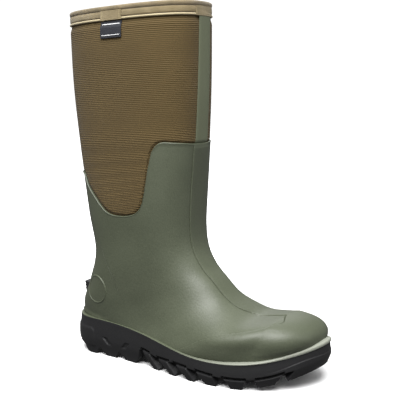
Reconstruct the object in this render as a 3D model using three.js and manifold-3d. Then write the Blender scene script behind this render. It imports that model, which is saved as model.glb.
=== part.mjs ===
// Insulated pull-on hunting boot, right foot, about a men's US 9. Millimetres, +Z up, toe toward +X,
// inner side of the foot toward +Y. The origin is on the floor, under the middle of the boot's box.
//
// The upper is one form: section planes run from a back point to a front point, down the shaft, round
// the heel and out to the toe. Every layer of the wall is that form moved in by its own depth, so the
// layers follow each other with a constant clearance.
import * as THREE from "three";
import { mergeVertices } from "three/addons/utils/BufferGeometryUtils.js";
import Module from "manifold-3d";

const wasm = await Module();
wasm.setup();

// ---- Driving dimensions ---------------------------------------------------------------------
const soleLength = 300; // outsole, heel to toe
const bootHeight = 387; // floor to the front of the rim
const ballWidth = 126; // outsole, across the ball
const clearance = 0.3; // between two pieces that touch

// Wall, from the outside in
const rubberThickness = 2.2; // shell where it laps the fabric
const facingThickness = 1.2; // knitted facing of the shaft, and the stiffeners of the foot
const insulationThickness = 4; // neoprene foam bootie
const liningThickness = 1; // sock lining

// Shell edge, seen from the side
const frontEdgeHeight = 243;
const backEdgeHeight = 206;
const notchHeight = 163; // lowest point of the side notches
const lap = 18; // how far the facing runs down inside the shell
const backRoundDrop = 8; // heights of the edge's rounded corners
const frontRoundDrop = 25;
const notchBackRise = 14;
const notchFrontRise = 13;
const edgeClear = 80; // the cutting block reaches this far past the boot

// Collar, measured down from the rim
const bindingDrop = 5;
const bindingInside = 14; // binding turned in over the lining
const tapeDrop = 12.2;
const pipingDrop = 15;
const collarThickness = 1.2;
const patchThickness = 0.8;
const stripHalfAngle = 10; // half of the front strip, degrees round the section
const frontPatchHalfAngle = 11;

// Label
const labelDrop = 17;
const labelThickness = 0.8;
const labelGap = 0.9; // below the piping, so that the label swings clear of it
const labelAngles = [264, 274];

// Sole
const lugDepth = 5;
const webThickness = 2.5; // solid rubber over the lugs
const heelEdgeHeight = 42; // top edge of the outsole wall
const ballEdgeHeight = 25;
const toeEdgeHeight = 42.6;
const toeSpring = 20; // lift of the sole at the tip
const wallTaper = 3.5; // how far the ground edge lies inside the top edge
const tuckInset = 1; // and how far the wall does at the top of the gaps between lugs
const midsoleInset = 14;
const shank = { from: 50, to: 160, halfWidth: 8, thickness: 1.6 };
const notchRise = 9; // how far the gaps between side lugs run up the wall
const beadHeight = 2.4;
const beadToeHeight = 3.4;
const beadInset = 0.4;
const beadBulge = 0.4; // how far the bead's outer face is rounded out
const innerWallInset = 24; // outsole material under the form ends within this

// Footbed
const footbedThickness = 4.5;
const coverThickness = 0.8;
const footbedRows = [7, 12.7]; // stations of the form
const footbedAngles = [146, 214]; // degrees round the section, either side of the underside

// Heel kick tab, over three stations of the form and an angle round the back
const kickTabReach = 7;
const kickTabRows = [5.15, 5.3, 5.5];
const kickTabAngles = [158, 202];

// ---- Grading --------------------------------------------------------------------------------
// The sections are drawn for one pattern size and graded to the driving dimensions: lengths with the
// sole, widths with the ball, and heights above the ankle with the boot.
const pattern = { length: 300, height: 387, width: 126, ankle: 116 };
const gradeX = (x) => (x * soleLength) / pattern.length;
const gradeY = (y) => (y * ballWidth) / pattern.width;
const shaftGrade = (bootHeight - pattern.ankle) / (pattern.height - pattern.ankle);
const gradeZ = (z) => (z > pattern.ankle ? pattern.ankle + (z - pattern.ankle) * shaftGrade : z);

// ---- The form -------------------------------------------------------------------------------
// One row per section: back or underside x, z, front or instep x, z, half-width, sideways shift.
const sections = [
  [-8, 379, 158, 387, 49, 0], // rim
  [-3, 301, 157, 309, 51, 0],
  [7, 226, 154, 238, 51.5, 0],
  [18, 161, 150, 184, 52, 0],
  [26, 116, 149, 150, 50, 0], // ankle
  [16, 79, 153, 127, 49, 0],
  [5, 50, 164, 109, 47, 0], // heel
  [16, 26, 179, 95, 45, 0],
  [55, 18, 193, 81, 46, 0], // waist
  [102, 17, 209, 71, 51.5, 0],
  [152, 16, 226, 64, 58, -1], // ball
  [197, 16, 243, 65.5, 56, -1.5],
  [232, 17, 258, 68.5, 49.5, -1], // toe break
].map(([backX, backZ, frontX, frontZ, half, shift]) => [
  gradeX(backX),
  gradeZ(backZ),
  gradeX(frontX),
  gradeZ(frontZ),
  gradeY(half),
  gradeY(shift),
]);
const toeBreak = sections.length - 1;
const tipStation = toeBreak + 1;
const tip = { x: gradeX(290.6), y: gradeY(7.5), z: 38 };
const sectionPower = 2.7; // 2 is an ellipse, more is squarer
const undersidePower = 4; // under the foot, so that the underside is flat with rounded edges
const toePowerAcross = 2.15;
const toePowerUp = 2.1;

const flatFrom = 7; // the section behind which the back stays round
const smooth = (u) => u * u * (3 - 2 * u);

// Section at a station, by a Catmull-Rom curve through the rows with straight ends.
function sectionAt(station) {
  const i = Math.min(Math.floor(station), toeBreak - 1);
  const u = station - i;
  const b = sections[i];
  const c = sections[i + 1];
  const a = i > 0 ? sections[i - 1] : b.map((value, k) => 2 * value - c[k]);
  const d = i + 2 <= toeBreak ? sections[i + 2] : c.map((value, k) => 2 * value - b[k]);
  return b.map((_, k) => {
    const cubic = 3 * (b[k] - c[k]) + d[k] - a[k];
    const square = 2 * a[k] - 5 * b[k] + 4 * c[k] - d[k];
    return 0.5 * (2 * b[k] + (c[k] - a[k]) * u + square * u * u + cubic * u ** 3);
  });
}

// Point on the outer face: a superellipse between the back and front points, which past the toe break
// moves to the tip and shrinks as a superellipsoid. Angle 0 is the front line, 90 the inner side.
function formPoint(station, angle) {
  const row = sectionAt(Math.min(station, toeBreak));
  const [backX, backZ, frontX, frontZ, half, shift] = row;
  const along = Math.sin((Math.max(0, station - toeBreak) * Math.PI) / 2);
  const across = Math.max(0, 1 - along ** toePowerAcross) ** (1 / toePowerAcross);
  const up = Math.max(0, 1 - along ** toePowerUp) ** (1 / toePowerUp);
  const cos = Math.cos(THREE.MathUtils.degToRad(angle));
  const sin = Math.sin(THREE.MathUtils.degToRad(angle));
  const flat = cos < 0 ? smooth(THREE.MathUtils.clamp((station - flatFrom) / 2, 0, 1)) : 0;
  const power = THREE.MathUtils.lerp(sectionPower, undersidePower, flat);
  const p = Math.sign(cos) * Math.abs(cos) ** (2 / power);
  const q = Math.sign(sin) * Math.abs(sin) ** (2 / power);
  const x = THREE.MathUtils.lerp((backX + frontX) / 2, tip.x, along);
  const y = THREE.MathUtils.lerp(shift, tip.y, along ** 1.5);
  const z = THREE.MathUtils.lerp((backZ + frontZ) / 2, tip.z, along);
  return new THREE.Vector3(
    x + ((frontX - backX) / 2) * up * p,
    y + half * across * q,
    z + ((frontZ - backZ) / 2) * up * p,
  );
}

// Outward direction of the form, from differences along and round it.
function formNormal(station, angle) {
  if (station > tipStation - 1e-6) return tipNormal();
  const step = 1e-3;
  const low = Math.max(0, station - step);
  const along = formPoint(station + step / 2, angle).sub(formPoint(low, angle));
  const round = formPoint(station, angle + 1).sub(formPoint(station, angle - 1));
  return along.cross(round).normalize();
}

// At the very tip the form has no direction round it, so the normal is the mean of those close by.
const tipNormal = () =>
  [0, 90, 180, 270]
    .reduce((sum, angle) => sum.add(formNormal(tipStation - 0.02, angle)), new THREE.Vector3())
    .normalize();

const wallPoint = (station, angle, depth) =>
  formPoint(station, angle).addScaledVector(formNormal(station, angle), -depth);

// ---- Solids ---------------------------------------------------------------------------------
// A closed body from points and triangles, turned so that it faces out.
function solid(points, triangles) {
  const flat = triangles.flat().flatMap((k) => points[k].toArray());
  const geometry = new THREE.BufferGeometry();
  geometry.setAttribute("position", new THREE.Float32BufferAttribute(flat, 3));
  return solidFrom(geometry);
}

function solidFrom(geometry) {
  const bare = geometry.clone();
  bare.deleteAttribute("normal");
  bare.deleteAttribute("uv");
  const merged = mergeVertices(bare, 1e-4);
  const index = merged.index.array;
  const kept = [];
  for (let k = 0; k < index.length; k += 3) {
    const [a, b, c] = index.slice(k, k + 3);
    if (a !== b && b !== c && c !== a) kept.push(a, b, c);
  }
  const build = (corners) =>
    new wasm.Manifold(
      new wasm.Mesh({
        numProp: 3,
        vertProperties: new Float32Array(merged.attributes.position.array),
        triVerts: new Uint32Array(corners),
      }),
    );
  const made = build(kept);
  return made.volume() > 0 ? made : build(kept.toReversed());
}

// Two triangles for a four-sided face. The skins of neighbouring layers run through the stations in
// opposite directions, so one of them takes the other diagonal and their facets stay parallel.
const quad = (a, b, c, d, otherDiagonal = false) =>
  otherDiagonal
    ? [
        [a, b, d],
        [b, c, d],
      ]
    : [
        [a, b, c],
        [a, c, d],
      ];

// A grid of rings joined to each other, with the last ring joined to the first: a closed hoop. The
// rings from turnedFrom on take the other diagonal.
function hoop(rings, turnedFrom = rings.length) {
  const count = rings[0].length;
  const id = (i, j) => (i % rings.length) * count + (j % count);
  const corners = (i, j) => [id(i, j), id(i, j + 1), id(i + 1, j + 1), id(i + 1, j)];
  const faces = rings.flatMap((ring, i) => ring.flatMap((_, j) => quad(...corners(i, j), i >= turnedFrom)));
  return solid(rings.flat(), faces);
}

// Rings joined in turn and closed at both ends by fans to the ends' own middles.
function stack(rings) {
  const count = rings[0].length;
  const middle = (ring) =>
    ring.reduce((sum, p) => sum.add(p), new THREE.Vector3()).divideScalar(count);
  const points = [...rings.flat(), middle(rings[0]), middle(rings.at(-1))];
  const id = (i, j) => i * count + (j % count);
  const faces = [];
  for (let j = 0; j < count; j++) {
    for (let i = 0; i + 1 < rings.length; i++)
      faces.push(...quad(id(i, j), id(i, j + 1), id(i + 1, j + 1), id(i + 1, j)));
    faces.push([points.length - 2, id(0, j + 1), id(0, j)]);
    faces.push([points.length - 1, id(rings.length - 1, j), id(rings.length - 1, j + 1)]);
  }
  return solid(points, faces);
}

// The sheet of the wall between two depths, over some stations and angles. A full turn of angles
// gives a hoop, and a tip station closes it like a toe.
function wall(stations, angles, outer, inner) {
  const full = angles.at(-1) - angles[0] === 360;
  const turns = full ? angles.slice(0, -1) : angles;
  const row = (depth) => (station) => turns.map((angle) => wallPoint(station, angle, depth));
  const rings = [...stations.map(row(outer)), ...stations.toReversed().map(row(inner))];
  if (full) return hoop(rings, stations.length);
  // an open sheet: the rings run round a box, which is closed along both end angles
  const width = turns.length;
  const count = rings.length;
  const id = (i, j) => (i % count) * width + j;
  const faces = [];
  for (let i = 0; i < count; i++)
    for (let j = 0; j + 1 < width; j++) {
      const corners = [id(i, j), id(i, j + 1), id(i + 1, j + 1), id(i + 1, j)];
      faces.push(...quad(...corners, i >= stations.length));
    }
  for (const j of [0, width - 1])
    for (let i = 0; i + 1 < stations.length; i++) {
      const strip = quad(id(i, j), id(i + 1, j), id(count - 2 - i, j), id(count - 1 - i, j));
      faces.push(...(j ? strip.map((face) => face.toReversed()) : strip));
    }
  return solid(rings.flat(), faces);
}

// The whole form, filled, grown outward by a margin.
const filledForm = (margin) =>
  stack([0, ...formRows].map((station) => formAngles.slice(0, -1).map((a) => wallPoint(station, a, -margin))));

const front = [0, 10, 24, 40, 57, 75, 90, 105, 124, 146, 160, 171, 180];
const formAngles = [...front, ...front.toReversed().slice(1).map((angle) => 360 - angle)];
const between = (low, high) => [low, ...formAngles.filter((a) => a > low + 1 && a < high - 1), high];
const rowsBetween = (low, high) => [low, ...formRows.filter((r) => r > low + 0.05 && r < high - 0.05), high];

// Stations of the grid: sparse on the straight shaft, close at the ankle, heel and toe.
const formRows = [
  ...[0.5, 1, 1.5, 2, 2.5, 3, 3.5, 4, 4.5, 5, 5.5, 6, 6.5, 7, 7.5, 8, 9, 10, 11, 12],
  ...[0.3, 0.55, 0.75, 0.92, 1].map((share) => toeBreak + share),
];

// Rim: a drop in millimetres down the shaft as a station, measured along the front line.
const firstBay = formPoint(0, 0).distanceTo(formPoint(1, 0));
const dropped = (drop) => drop / firstBay;

// ---- Depths of the layers -------------------------------------------------------------------
const facingOuter = rubberThickness + clearance;
const facingInner = facingOuter + facingThickness;
const insulationOuter = facingInner + clearance;
const insulationInner = insulationOuter + insulationThickness;
const liningOuter = insulationInner + clearance;
const liningInner = liningOuter + liningThickness;
const wallStart = dropped(collarThickness + clearance);

// ---- Shell edge -----------------------------------------------------------------------------
// Everything above the shell's top edge, lowered by an amount: a side outline carried across the boot.
function aboveEdge(lowered) {
  const x = gradeX;
  const high = gradeZ(frontEdgeHeight) - lowered;
  const peak = gradeZ(backEdgeHeight) - lowered;
  const low = gradeZ(notchHeight) - lowered;
  const top = bootHeight + edgeClear;
  const outline = new THREE.Shape();
  outline.moveTo(x(-edgeClear), top);
  outline.lineTo(x(-edgeClear), peak);
  outline.lineTo(x(4), peak);
  outline.quadraticCurveTo(x(22), peak, x(30), peak - backRoundDrop);
  outline.lineTo(x(51), low + notchBackRise);
  outline.quadraticCurveTo(x(62), low, x(76), low);
  outline.lineTo(x(88), low);
  outline.quadraticCurveTo(x(103), low, x(108), low + notchFrontRise);
  outline.lineTo(x(118), high - frontRoundDrop);
  outline.quadraticCurveTo(x(123), high, x(134), high);
  outline.lineTo(soleLength, high);
  outline.lineTo(soleLength, top);
  const across = 2 * ballWidth;
  const block = new THREE.ExtrudeGeometry(outline, { depth: across, bevelEnabled: false, curveSegments: 5 });
  block.rotateX(Math.PI / 2);
  block.translate(0, across / 2, 0);
  return solidFrom(block);
}

// ---- Sole outline ---------------------------------------------------------------------------
// Half-widths: a blunt heel, an S-curve through the waist and half an ellipse from ball to toe.
const heelReach = gradeX(38);
const heelHalf = gradeY(44.5);
const heelPower = 2.2;
const ballX = gradeX(187);
const ballHalf = ballWidth / 2;
const toeReach = soleLength - ballX;
const waistDelay = 1.4; // above 1 keeps the waist narrow for longer
const toeTurnsFrom = gradeX(230);
const toeShift = gradeY(8);
const toePower = 2.06;

// Outline point on one side (-1 outer, +1 inner), with run from 0 at the heel to 3 at the toe.
function outlinePoint(run, side) {
  let x;
  let half;
  if (run < 1) {
    const turn = (run * Math.PI) / 2;
    x = heelReach * (1 - Math.cos(turn) ** (2 / heelPower));
    half = heelHalf * Math.sin(turn) ** (2 / heelPower);
  } else if (run < 2) {
    x = THREE.MathUtils.lerp(heelReach, ballX, run - 1);
    half = THREE.MathUtils.lerp(heelHalf, ballHalf, smooth((run - 1) ** waistDelay));
  } else {
    const turn = ((run - 2) * Math.PI) / 2;
    x = ballX + toeReach * Math.sin(turn) ** (2 / toePower);
    half = ballHalf * Math.max(0, Math.cos(turn)) ** (2 / toePower);
  }
  const bend = Math.max(0, x - toeTurnsFrom) / (soleLength - toeTurnsFrom);
  return new THREE.Vector2(x, side * Math.max(0, half) + toeShift * bend ** 2);
}

// The same point moved in from the edge along the outline's own normal.
function soleEdge(run, side, inset) {
  const step = 0.01;
  const ahead = outlinePoint(Math.min(3, run + step), side);
  const behind = outlinePoint(Math.max(0, run - step), side);
  const along = ahead.sub(behind);
  if (run === 0) along.set(0, side);
  if (run === 3) along.set(0, -side);
  along.normalize();
  const inward = new THREE.Vector2(side * along.y, -side * along.x);
  return outlinePoint(run, side).addScaledVector(inward, inset);
}

const soleRuns = [
  ...[0, 0.15, 0.32, 0.5, 0.7, 1, 1.2, 1.4, 1.6, 1.8, 2],
  ...[0.15, 0.3, 0.45, 0.58, 0.7, 0.8, 0.9, 1].map((share) => 2 + share),
];
const lateral = soleRuns.map((run) => [run, -1]);
const medial = soleRuns.toReversed().slice(1, -1).map((run) => [run, 1]);
const soleLoop = [...lateral, ...medial];

const ease = (u) => (1 - Math.cos(Math.PI * u)) / 2;
const lowestX = gradeX(205);
const fallDelay = 1.45; // above 1 the edge stays high for longer before it falls
const climbPower = 1.9;

// Top edge of the outsole wall: falls from the heel to the ball and climbs round the toe.
function edgeHeight(x) {
  if (x < lowestX) {
    const fall = ease(Math.max(0, x / lowestX) ** fallDelay);
    return THREE.MathUtils.lerp(heelEdgeHeight, ballEdgeHeight, fall);
  }
  const climb = ((x - lowestX) / (soleLength - lowestX)) ** climbPower;
  return THREE.MathUtils.lerp(ballEdgeHeight, toeEdgeHeight, climb);
}

const springStart = gradeX(222);
const springPower = 1.7;
const springAt = (x) => toeSpring * (Math.max(0, x - springStart) / (soleLength - springStart)) ** springPower;

// A ring of the sole: inset from the outline, with its height worked out from its own place, or from
// the place on the outline beside it, which keeps a ledge level across.
const soleRing = (inset, height, level = false) =>
  soleLoop.map(([run, side]) => {
    const edge = soleEdge(run, side, inset);
    return new THREE.Vector3(edge.x, edge.y, height(level ? outlinePoint(run, side).x : edge.x));
  });
const ledgeInset = 14; // both the ledge and the bead on it run in under the shell to here
const beadDeepFrom = gradeX(275);

// Rings of the sole joined in turn, closed at both ends by strips from side to side, so that the ends
// follow the toe spring.
function soleBlock(rings) {
  const count = soleLoop.length;
  const id = (i, j) => i * count + (j % count);
  const faces = [];
  for (let i = 0; i + 1 < rings.length; i++)
    for (let j = 0; j < count; j++)
      faces.push(...quad(id(i, j), id(i, j + 1), id(i + 1, j + 1), id(i + 1, j)));
  for (const i of [0, rings.length - 1])
    for (let j = 0; j + 1 < soleRuns.length; j++) {
      const strip = quad(id(i, j), id(i, (count - j) % count), id(i, count - j - 1), id(i, j + 1));
      faces.push(...(i ? strip.map((face) => face.toReversed()) : strip));
    }
  return solid(rings.flat(), faces);
}

// A block that follows the outline between two runs, from one inset to another.
function edgeBlock([from, to], side, [outside, inside], bottom, top, flare = 0) {
  const ring = (height, grown) =>
    [
      [from - grown, outside],
      [to + grown, outside],
      [to + grown, inside],
      [from - grown, inside],
    ].map(([run, inset]) => {
      const edge = soleEdge(run, side, inset);
      return new THREE.Vector3(edge.x, edge.y, height(edge.x));
    });
  return stack([ring(bottom, 0), ring(top, flare)]);
}

const box = (from, to) => {
  const size = new THREE.Vector3().subVectors(to, from);
  const block = new THREE.BoxGeometry(size.x, size.y, size.z);
  block.translate((from.x + to.x) / 2, (from.y + to.y) / 2, (from.z + to.z) / 2);
  return solidFrom(block);
};

// ---- Pieces ---------------------------------------------------------------------------------
const below = filledForm(clearance); // what the sole has to make room for

const webBottom = (x) => lugDepth + springAt(x);
const webTop = (x) => lugDepth + webThickness + springAt(x);
const hidden = () => 36; // a height inside the form everywhere

function makeMidsole(grown) {
  const bottom = (x) => webTop(x) + clearance - grown;
  const inset = midsoleInset - grown;
  return soleBlock([soleRing(inset, bottom), soleRing(inset, hidden)]);
}

// Side lugs between runs along the outline, and the gaps between them, which run up the wall.
const heelLugs = [
  [0.12, 0.42],
  [0.55, 0.86],
  [1.0, 1.16],
];
const foreLugs = [
  [1.4, 1.54],
  [1.62, 1.76],
  [1.84, 1.97],
  [2.05, 2.2],
  [2.29, 2.44],
  [2.54, 2.7],
];
const sideLugs = [...heelLugs, [1.22, 1.34], ...foreLugs];
const lugReach = 20; // from the ground edge toward the middle
const lugStep = 0.5; // how far the lugs' outer faces lie inside the wall
const lugOverlap = 1; // how far the lugs run up into the web
const lugDraft = 0.01; // widening of a lug toward the web, as a run along the outline
const gapMargin = 0.02; // what is left of the wall beside each lug, as a run
const gapOutside = -3; // the gaps are cut from outside the wall
const centreLugs = [
  [30, 66, 15],
  [96, 112, 12],
  [130, 146, 14],
  [156, 172, 22],
  [182, 198, 24],
  [206, 220, 22],
];

function outsole() {
  let body = soleBlock([
    soleRing(wallTaper, webBottom),
    soleRing(tuckInset, (x) => webBottom(x) + notchRise),
    soleRing(0, edgeHeight, true),
    soleRing(beadInset, edgeHeight, true),
    soleRing(ledgeInset, edgeHeight, true),
    soleRing(innerWallInset, hidden),
  ]);
  body = body.subtract(below).subtract(makeMidsole(clearance));
  const ground = (x) => springAt(x);
  const buried = (x) => webBottom(x) + lugOverlap;
  const gapTop = (x) => webBottom(x) + notchRise;
  for (const side of [-1, 1]) {
    for (const lug of sideLugs) {
      const across = [wallTaper + lugStep, wallTaper + lugReach];
      body = body.add(edgeBlock(lug, side, across, ground, buried, lugDraft));
    }
    for (let k = 0; k + 1 < sideLugs.length; k++) {
      const gap = [sideLugs[k][1] + gapMargin, sideLugs[k + 1][0] - gapMargin];
      body = body.subtract(edgeBlock(gap, side, [gapOutside, wallTaper], ground, gapTop, -lugDraft));
    }
  }
  for (const [from, to, half] of centreLugs) {
    const low = new THREE.Vector3(gradeX(from), -half, 0);
    body = body.add(box(low, new THREE.Vector3(gradeX(to), half, lugDepth + lugOverlap)));
  }
  return body;
}

function shankPlate(grown) {
  const bottom = lugDepth + webThickness + 2 * clearance;
  const low = new THREE.Vector3(gradeX(shank.from) - grown, -shank.halfWidth - grown, bottom - 2 * grown);
  const top = bottom + shank.thickness + grown;
  const high = new THREE.Vector3(gradeX(shank.to) + grown, shank.halfWidth + grown, top);
  return box(low, high);
}

const midsole = () => makeMidsole(0).subtract(below).subtract(shankPlate(clearance));

// Bead along the outsole's top edge, deeper round the toe.
function soleBead() {
  const bottom = (x) => edgeHeight(x) + clearance;
  const deepening = (x) => smooth(THREE.MathUtils.clamp((x - lowestX) / (beadDeepFrom - lowestX), 0, 1));
  const top = (x) => bottom(x) + THREE.MathUtils.lerp(beadHeight, beadToeHeight, deepening(x));
  const middle = (x) => (bottom(x) + top(x)) / 2;
  const outside = [
    soleRing(beadInset, bottom, true),
    soleRing(beadInset - beadBulge, middle, true),
    soleRing(beadInset, top, true),
  ];
  const inside = [soleRing(ledgeInset, top, true), soleRing(ledgeInset, bottom, true)];
  const underside = outside.length + 1; // its facets have to lie parallel to the ledge's
  return hoop([...outside, ...inside], underside).subtract(below);
}

// Stiffeners lie between shell and insulation, in recesses of the shell.
const stiffeners = {
  heel_counter: { rows: [4.7, 6.6], angles: [105, 255] },
  insole_board: { rows: [7, 12.55], angles: [146, 214] },
  toe_puff: { rows: [12.1, 12.92], angles: [-90, 90] },
};
const aroundFront = (low, high) => {
  const turned = [...formAngles.slice(0, -1).map((a) => a - 360), ...formAngles];
  return [low, ...turned.filter((a) => a > low + 1 && a < high - 1), high];
};

function stiffener({ rows, angles }, grown) {
  const stations = rowsBetween(rows[0] - grown / 40, rows[1] + grown / 40);
  const turns = aroundFront(angles[0] - grown, angles[1] + grown);
  return wall(stations, turns, facingOuter - grown, facingInner + (grown ? 1 : 0));
}

function rubberShell() {
  let body = wall(rowsBetween(1, tipStation), formAngles, 0, facingInner);
  body = body.subtract(aboveEdge(0));
  const room = wall(rowsBetween(0.5, 5.5), formAngles, rubberThickness, facingInner + 1);
  body = body.subtract(room.intersect(aboveEdge(lap + clearance)));
  for (const piece of Object.values(stiffeners)) body = body.subtract(stiffener(piece, clearance));
  return body;
}

const facingSleeve = () => {
  const stations = rowsBetween(wallStart, 5);
  return wall(stations, between(0.4, 359.6), facingOuter, facingInner).intersect(aboveEdge(lap));
};

const frontStrip = () => {
  const stations = rowsBetween(dropped(pipingDrop + clearance), 3);
  const angles = aroundFront(-stripHalfAngle, stripHalfAngle);
  const strip = wall(stations, angles, rubberThickness - collarThickness, rubberThickness);
  return strip.intersect(aboveEdge(-clearance));
};

const layer = (outer, inner) => wall([wallStart, ...formRows], formAngles, outer, inner);

// A band of the collar from a profile of [drop, depth] corners.
const collarBand = (profile) =>
  hoop(
    profile.map(([drop, depth]) =>
      formAngles.slice(0, -1).map((angle) => wallPoint(dropped(drop), angle, depth)),
    ),
  );
const bandInner = rubberThickness;
const bandOuter = rubberThickness - collarThickness;
const rimRound = 0.5; // chamfer of the binding
const pipingBulge = 0.3; // how far the piping stands out past the tape and in at its sides
const pipingRound = 0.6;
const bindingInner = liningInner + clearance;

const collarBinding = () =>
  collarBand([
    [rimRound, bandOuter],
    [bindingDrop - rimRound, bandOuter],
    [bindingDrop, bandOuter + rimRound],
    [bindingDrop, bandInner],
    [collarThickness, bandInner],
    [collarThickness, bindingInner],
    [bindingInside, bindingInner],
    [bindingInside, bindingInner + liningThickness],
    [rimRound, bindingInner + liningThickness],
    [0, liningInner],
    [0, bandOuter + rimRound],
  ]);

const collarTape = () =>
  collarBand([
    [bindingDrop + clearance, bandOuter],
    [tapeDrop, bandOuter],
    [tapeDrop, bandInner],
    [bindingDrop + clearance, bandInner],
  ]);

const collarPiping = () =>
  collarBand([
    [tapeDrop + clearance, bandOuter + pipingBulge],
    [tapeDrop + clearance + pipingRound, bandOuter - pipingBulge],
    [pipingDrop - pipingRound, bandOuter - pipingBulge],
    [pipingDrop, bandOuter + pipingBulge],
    [pipingDrop, bandInner],
    [tapeDrop + clearance, bandInner],
  ]);

// A patch sewn over the lower two bands of the collar.
const collarPatch = (low, high) => {
  const inner = bandOuter - pipingBulge - clearance;
  const stations = [dropped(bindingDrop), dropped(pipingDrop)];
  return wall(stations, aroundFront(low, high), inner - patchThickness, inner);
};

const wovenLabel = () => {
  const top = pipingDrop + labelGap;
  const stations = [top, top + labelDrop / 2, top + labelDrop].map(dropped);
  return wall(stations, between(...labelAngles), bandInner - labelThickness, bandInner);
};

const kickTab = () =>
  wall(kickTabRows, between(...kickTabAngles), -kickTabReach, facingInner).subtract(below);

const footbedOuter = liningInner + clearance;
const coverOuter = footbedOuter + footbedThickness + clearance;
const footbedSheet = (outer, thickness) =>
  wall(rowsBetween(...footbedRows), between(...footbedAngles), outer, outer + thickness);

// ---- Assembly -------------------------------------------------------------------------------
const finish = {
  green_rubber: { color: 0x5d6053, roughness: 0.5, metalness: 0 },
  black_rubber: { color: 0x303236, roughness: 0.7, metalness: 0 },
  brown_knit: { color: 0x67573c, roughness: 0.95, metalness: 0 },
  collar_webbing: { color: 0x8d815d, roughness: 0.9, metalness: 0 },
  piping_cord: { color: 0xc5b98a, roughness: 0.85, metalness: 0 },
  label_weave: { color: 0x1c1f26, roughness: 0.8, metalness: 0 },
  neoprene: { color: 0x2b2b2b, roughness: 0.9, metalness: 0 },
  lining_cloth: { color: 0x3c3a36, roughness: 0.95, metalness: 0 },
  eva_foam: { color: 0x6b6f66, roughness: 0.9, metalness: 0 },
  fibre_board: { color: 0xa08a66, roughness: 0.9, metalness: 0 },
  shank_composite: { color: 0x1f1f1f, roughness: 0.5, metalness: 0 },
};

const pieces = [
  ["outsole", outsole, "black_rubber"],
  ["sole_bead", soleBead, "green_rubber"],
  ["midsole", midsole, "eva_foam"],
  ["shank", () => shankPlate(0), "shank_composite"],
  ["rubber_shell", rubberShell, "green_rubber"],
  ["kick_tab", kickTab, "black_rubber"],
  ["heel_counter", () => stiffener(stiffeners.heel_counter, 0), "fibre_board"],
  ["toe_puff", () => stiffener(stiffeners.toe_puff, 0), "fibre_board"],
  ["insole_board", () => stiffener(stiffeners.insole_board, 0), "fibre_board"],
  ["facing_sleeve", facingSleeve, "brown_knit"],
  ["front_seam_strip", frontStrip, "green_rubber"],
  ["insulation_bootie", () => layer(insulationOuter, insulationInner), "neoprene"],
  ["lining_sock", () => layer(liningOuter, liningInner), "lining_cloth"],
  ["collar_binding", collarBinding, "collar_webbing"],
  ["collar_tape", collarTape, "collar_webbing"],
  ["collar_piping", collarPiping, "piping_cord"],
  ["side_patch", () => collarPatch(...labelAngles), "collar_webbing"],
  ["front_patch", () => collarPatch(-frontPatchHalfAngle, frontPatchHalfAngle), "collar_webbing"],
  ["woven_label", wovenLabel, "label_weave"],
  ["footbed_foam", () => footbedSheet(footbedOuter, footbedThickness), "eva_foam"],
  ["footbed_cover", () => footbedSheet(coverOuter, coverThickness), "lining_cloth"],
];

const boot = new THREE.Group();
for (const [name, make, slot] of pieces) {
  const { vertProperties, triVerts } = make().getMesh();
  const geometry = new THREE.BufferGeometry();
  geometry.setAttribute("position", new THREE.BufferAttribute(vertProperties, 3));
  geometry.setIndex(new THREE.BufferAttribute(triVerts, 1));
  geometry.computeVertexNormals();
  const mesh = new THREE.Mesh(geometry, new THREE.MeshStandardMaterial(finish[slot]));
  mesh.name = name;
  boot.add(mesh);
}

// The origin goes to the floor under the middle of the boot's box.
const span = new THREE.Box3().setFromObject(boot);
const centre = span.getCenter(new THREE.Vector3());
boot.position.set(-centre.x, -centre.y, 0);

export default boot;
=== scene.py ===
"""Insulated pull-on hunting boot, right foot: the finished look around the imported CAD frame.

The upper is one form, the same as in the CAD: section planes run from a back point to a front point,
down the shaft, round the heel and out to the toe, and every layer is that form moved in by a depth.
Pattern sizes are in millimetres from the back of the sole, and the frame's boxes grade them to metres.
"""

import math

import bmesh
import bpy
import numpy as np
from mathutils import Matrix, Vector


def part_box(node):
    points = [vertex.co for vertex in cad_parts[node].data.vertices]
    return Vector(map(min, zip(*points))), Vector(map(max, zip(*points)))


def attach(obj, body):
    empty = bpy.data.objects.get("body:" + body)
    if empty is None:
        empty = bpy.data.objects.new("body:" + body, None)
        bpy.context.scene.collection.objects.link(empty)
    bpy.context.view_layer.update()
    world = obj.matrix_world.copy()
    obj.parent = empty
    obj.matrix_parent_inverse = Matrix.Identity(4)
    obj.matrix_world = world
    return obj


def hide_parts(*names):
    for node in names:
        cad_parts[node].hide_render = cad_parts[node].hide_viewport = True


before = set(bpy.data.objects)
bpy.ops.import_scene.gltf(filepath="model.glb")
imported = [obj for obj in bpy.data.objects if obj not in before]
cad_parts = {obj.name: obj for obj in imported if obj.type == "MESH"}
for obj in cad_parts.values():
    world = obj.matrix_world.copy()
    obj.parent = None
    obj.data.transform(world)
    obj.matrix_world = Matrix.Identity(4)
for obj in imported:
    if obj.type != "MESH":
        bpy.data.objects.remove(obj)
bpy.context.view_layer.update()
MM = 0.001

# ---- Sizes from the frame -------------------------------------------------------------------
sole_low, sole_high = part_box("outsole")
rim_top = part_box("collar_binding")[1].z
LENGTH = (sole_high.x - sole_low.x) / (300 * MM)  # grade of lengths: 1 for the pattern size
WIDTH = (sole_high.y - sole_low.y) / (126 * MM)
MIDDLE = (sole_high.y + sole_low.y) / 2
ANKLE = 116
SHAFT = (rim_top / MM - ANKLE) / (387 - ANKLE)


def place(x, y, z):
    """Pattern millimetres to metres in the frame: lengths and widths graded with the sole, and heights
    above the ankle with the shaft."""
    z = np.where(z > ANKLE, ANKLE + (z - ANKLE) * SHAFT, z)
    x, y, z = np.broadcast_arrays(sole_low.x + x * MM * LENGTH, MIDDLE + y * MM * WIDTH, z * MM)
    return np.stack([x, y, z], -1)


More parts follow.
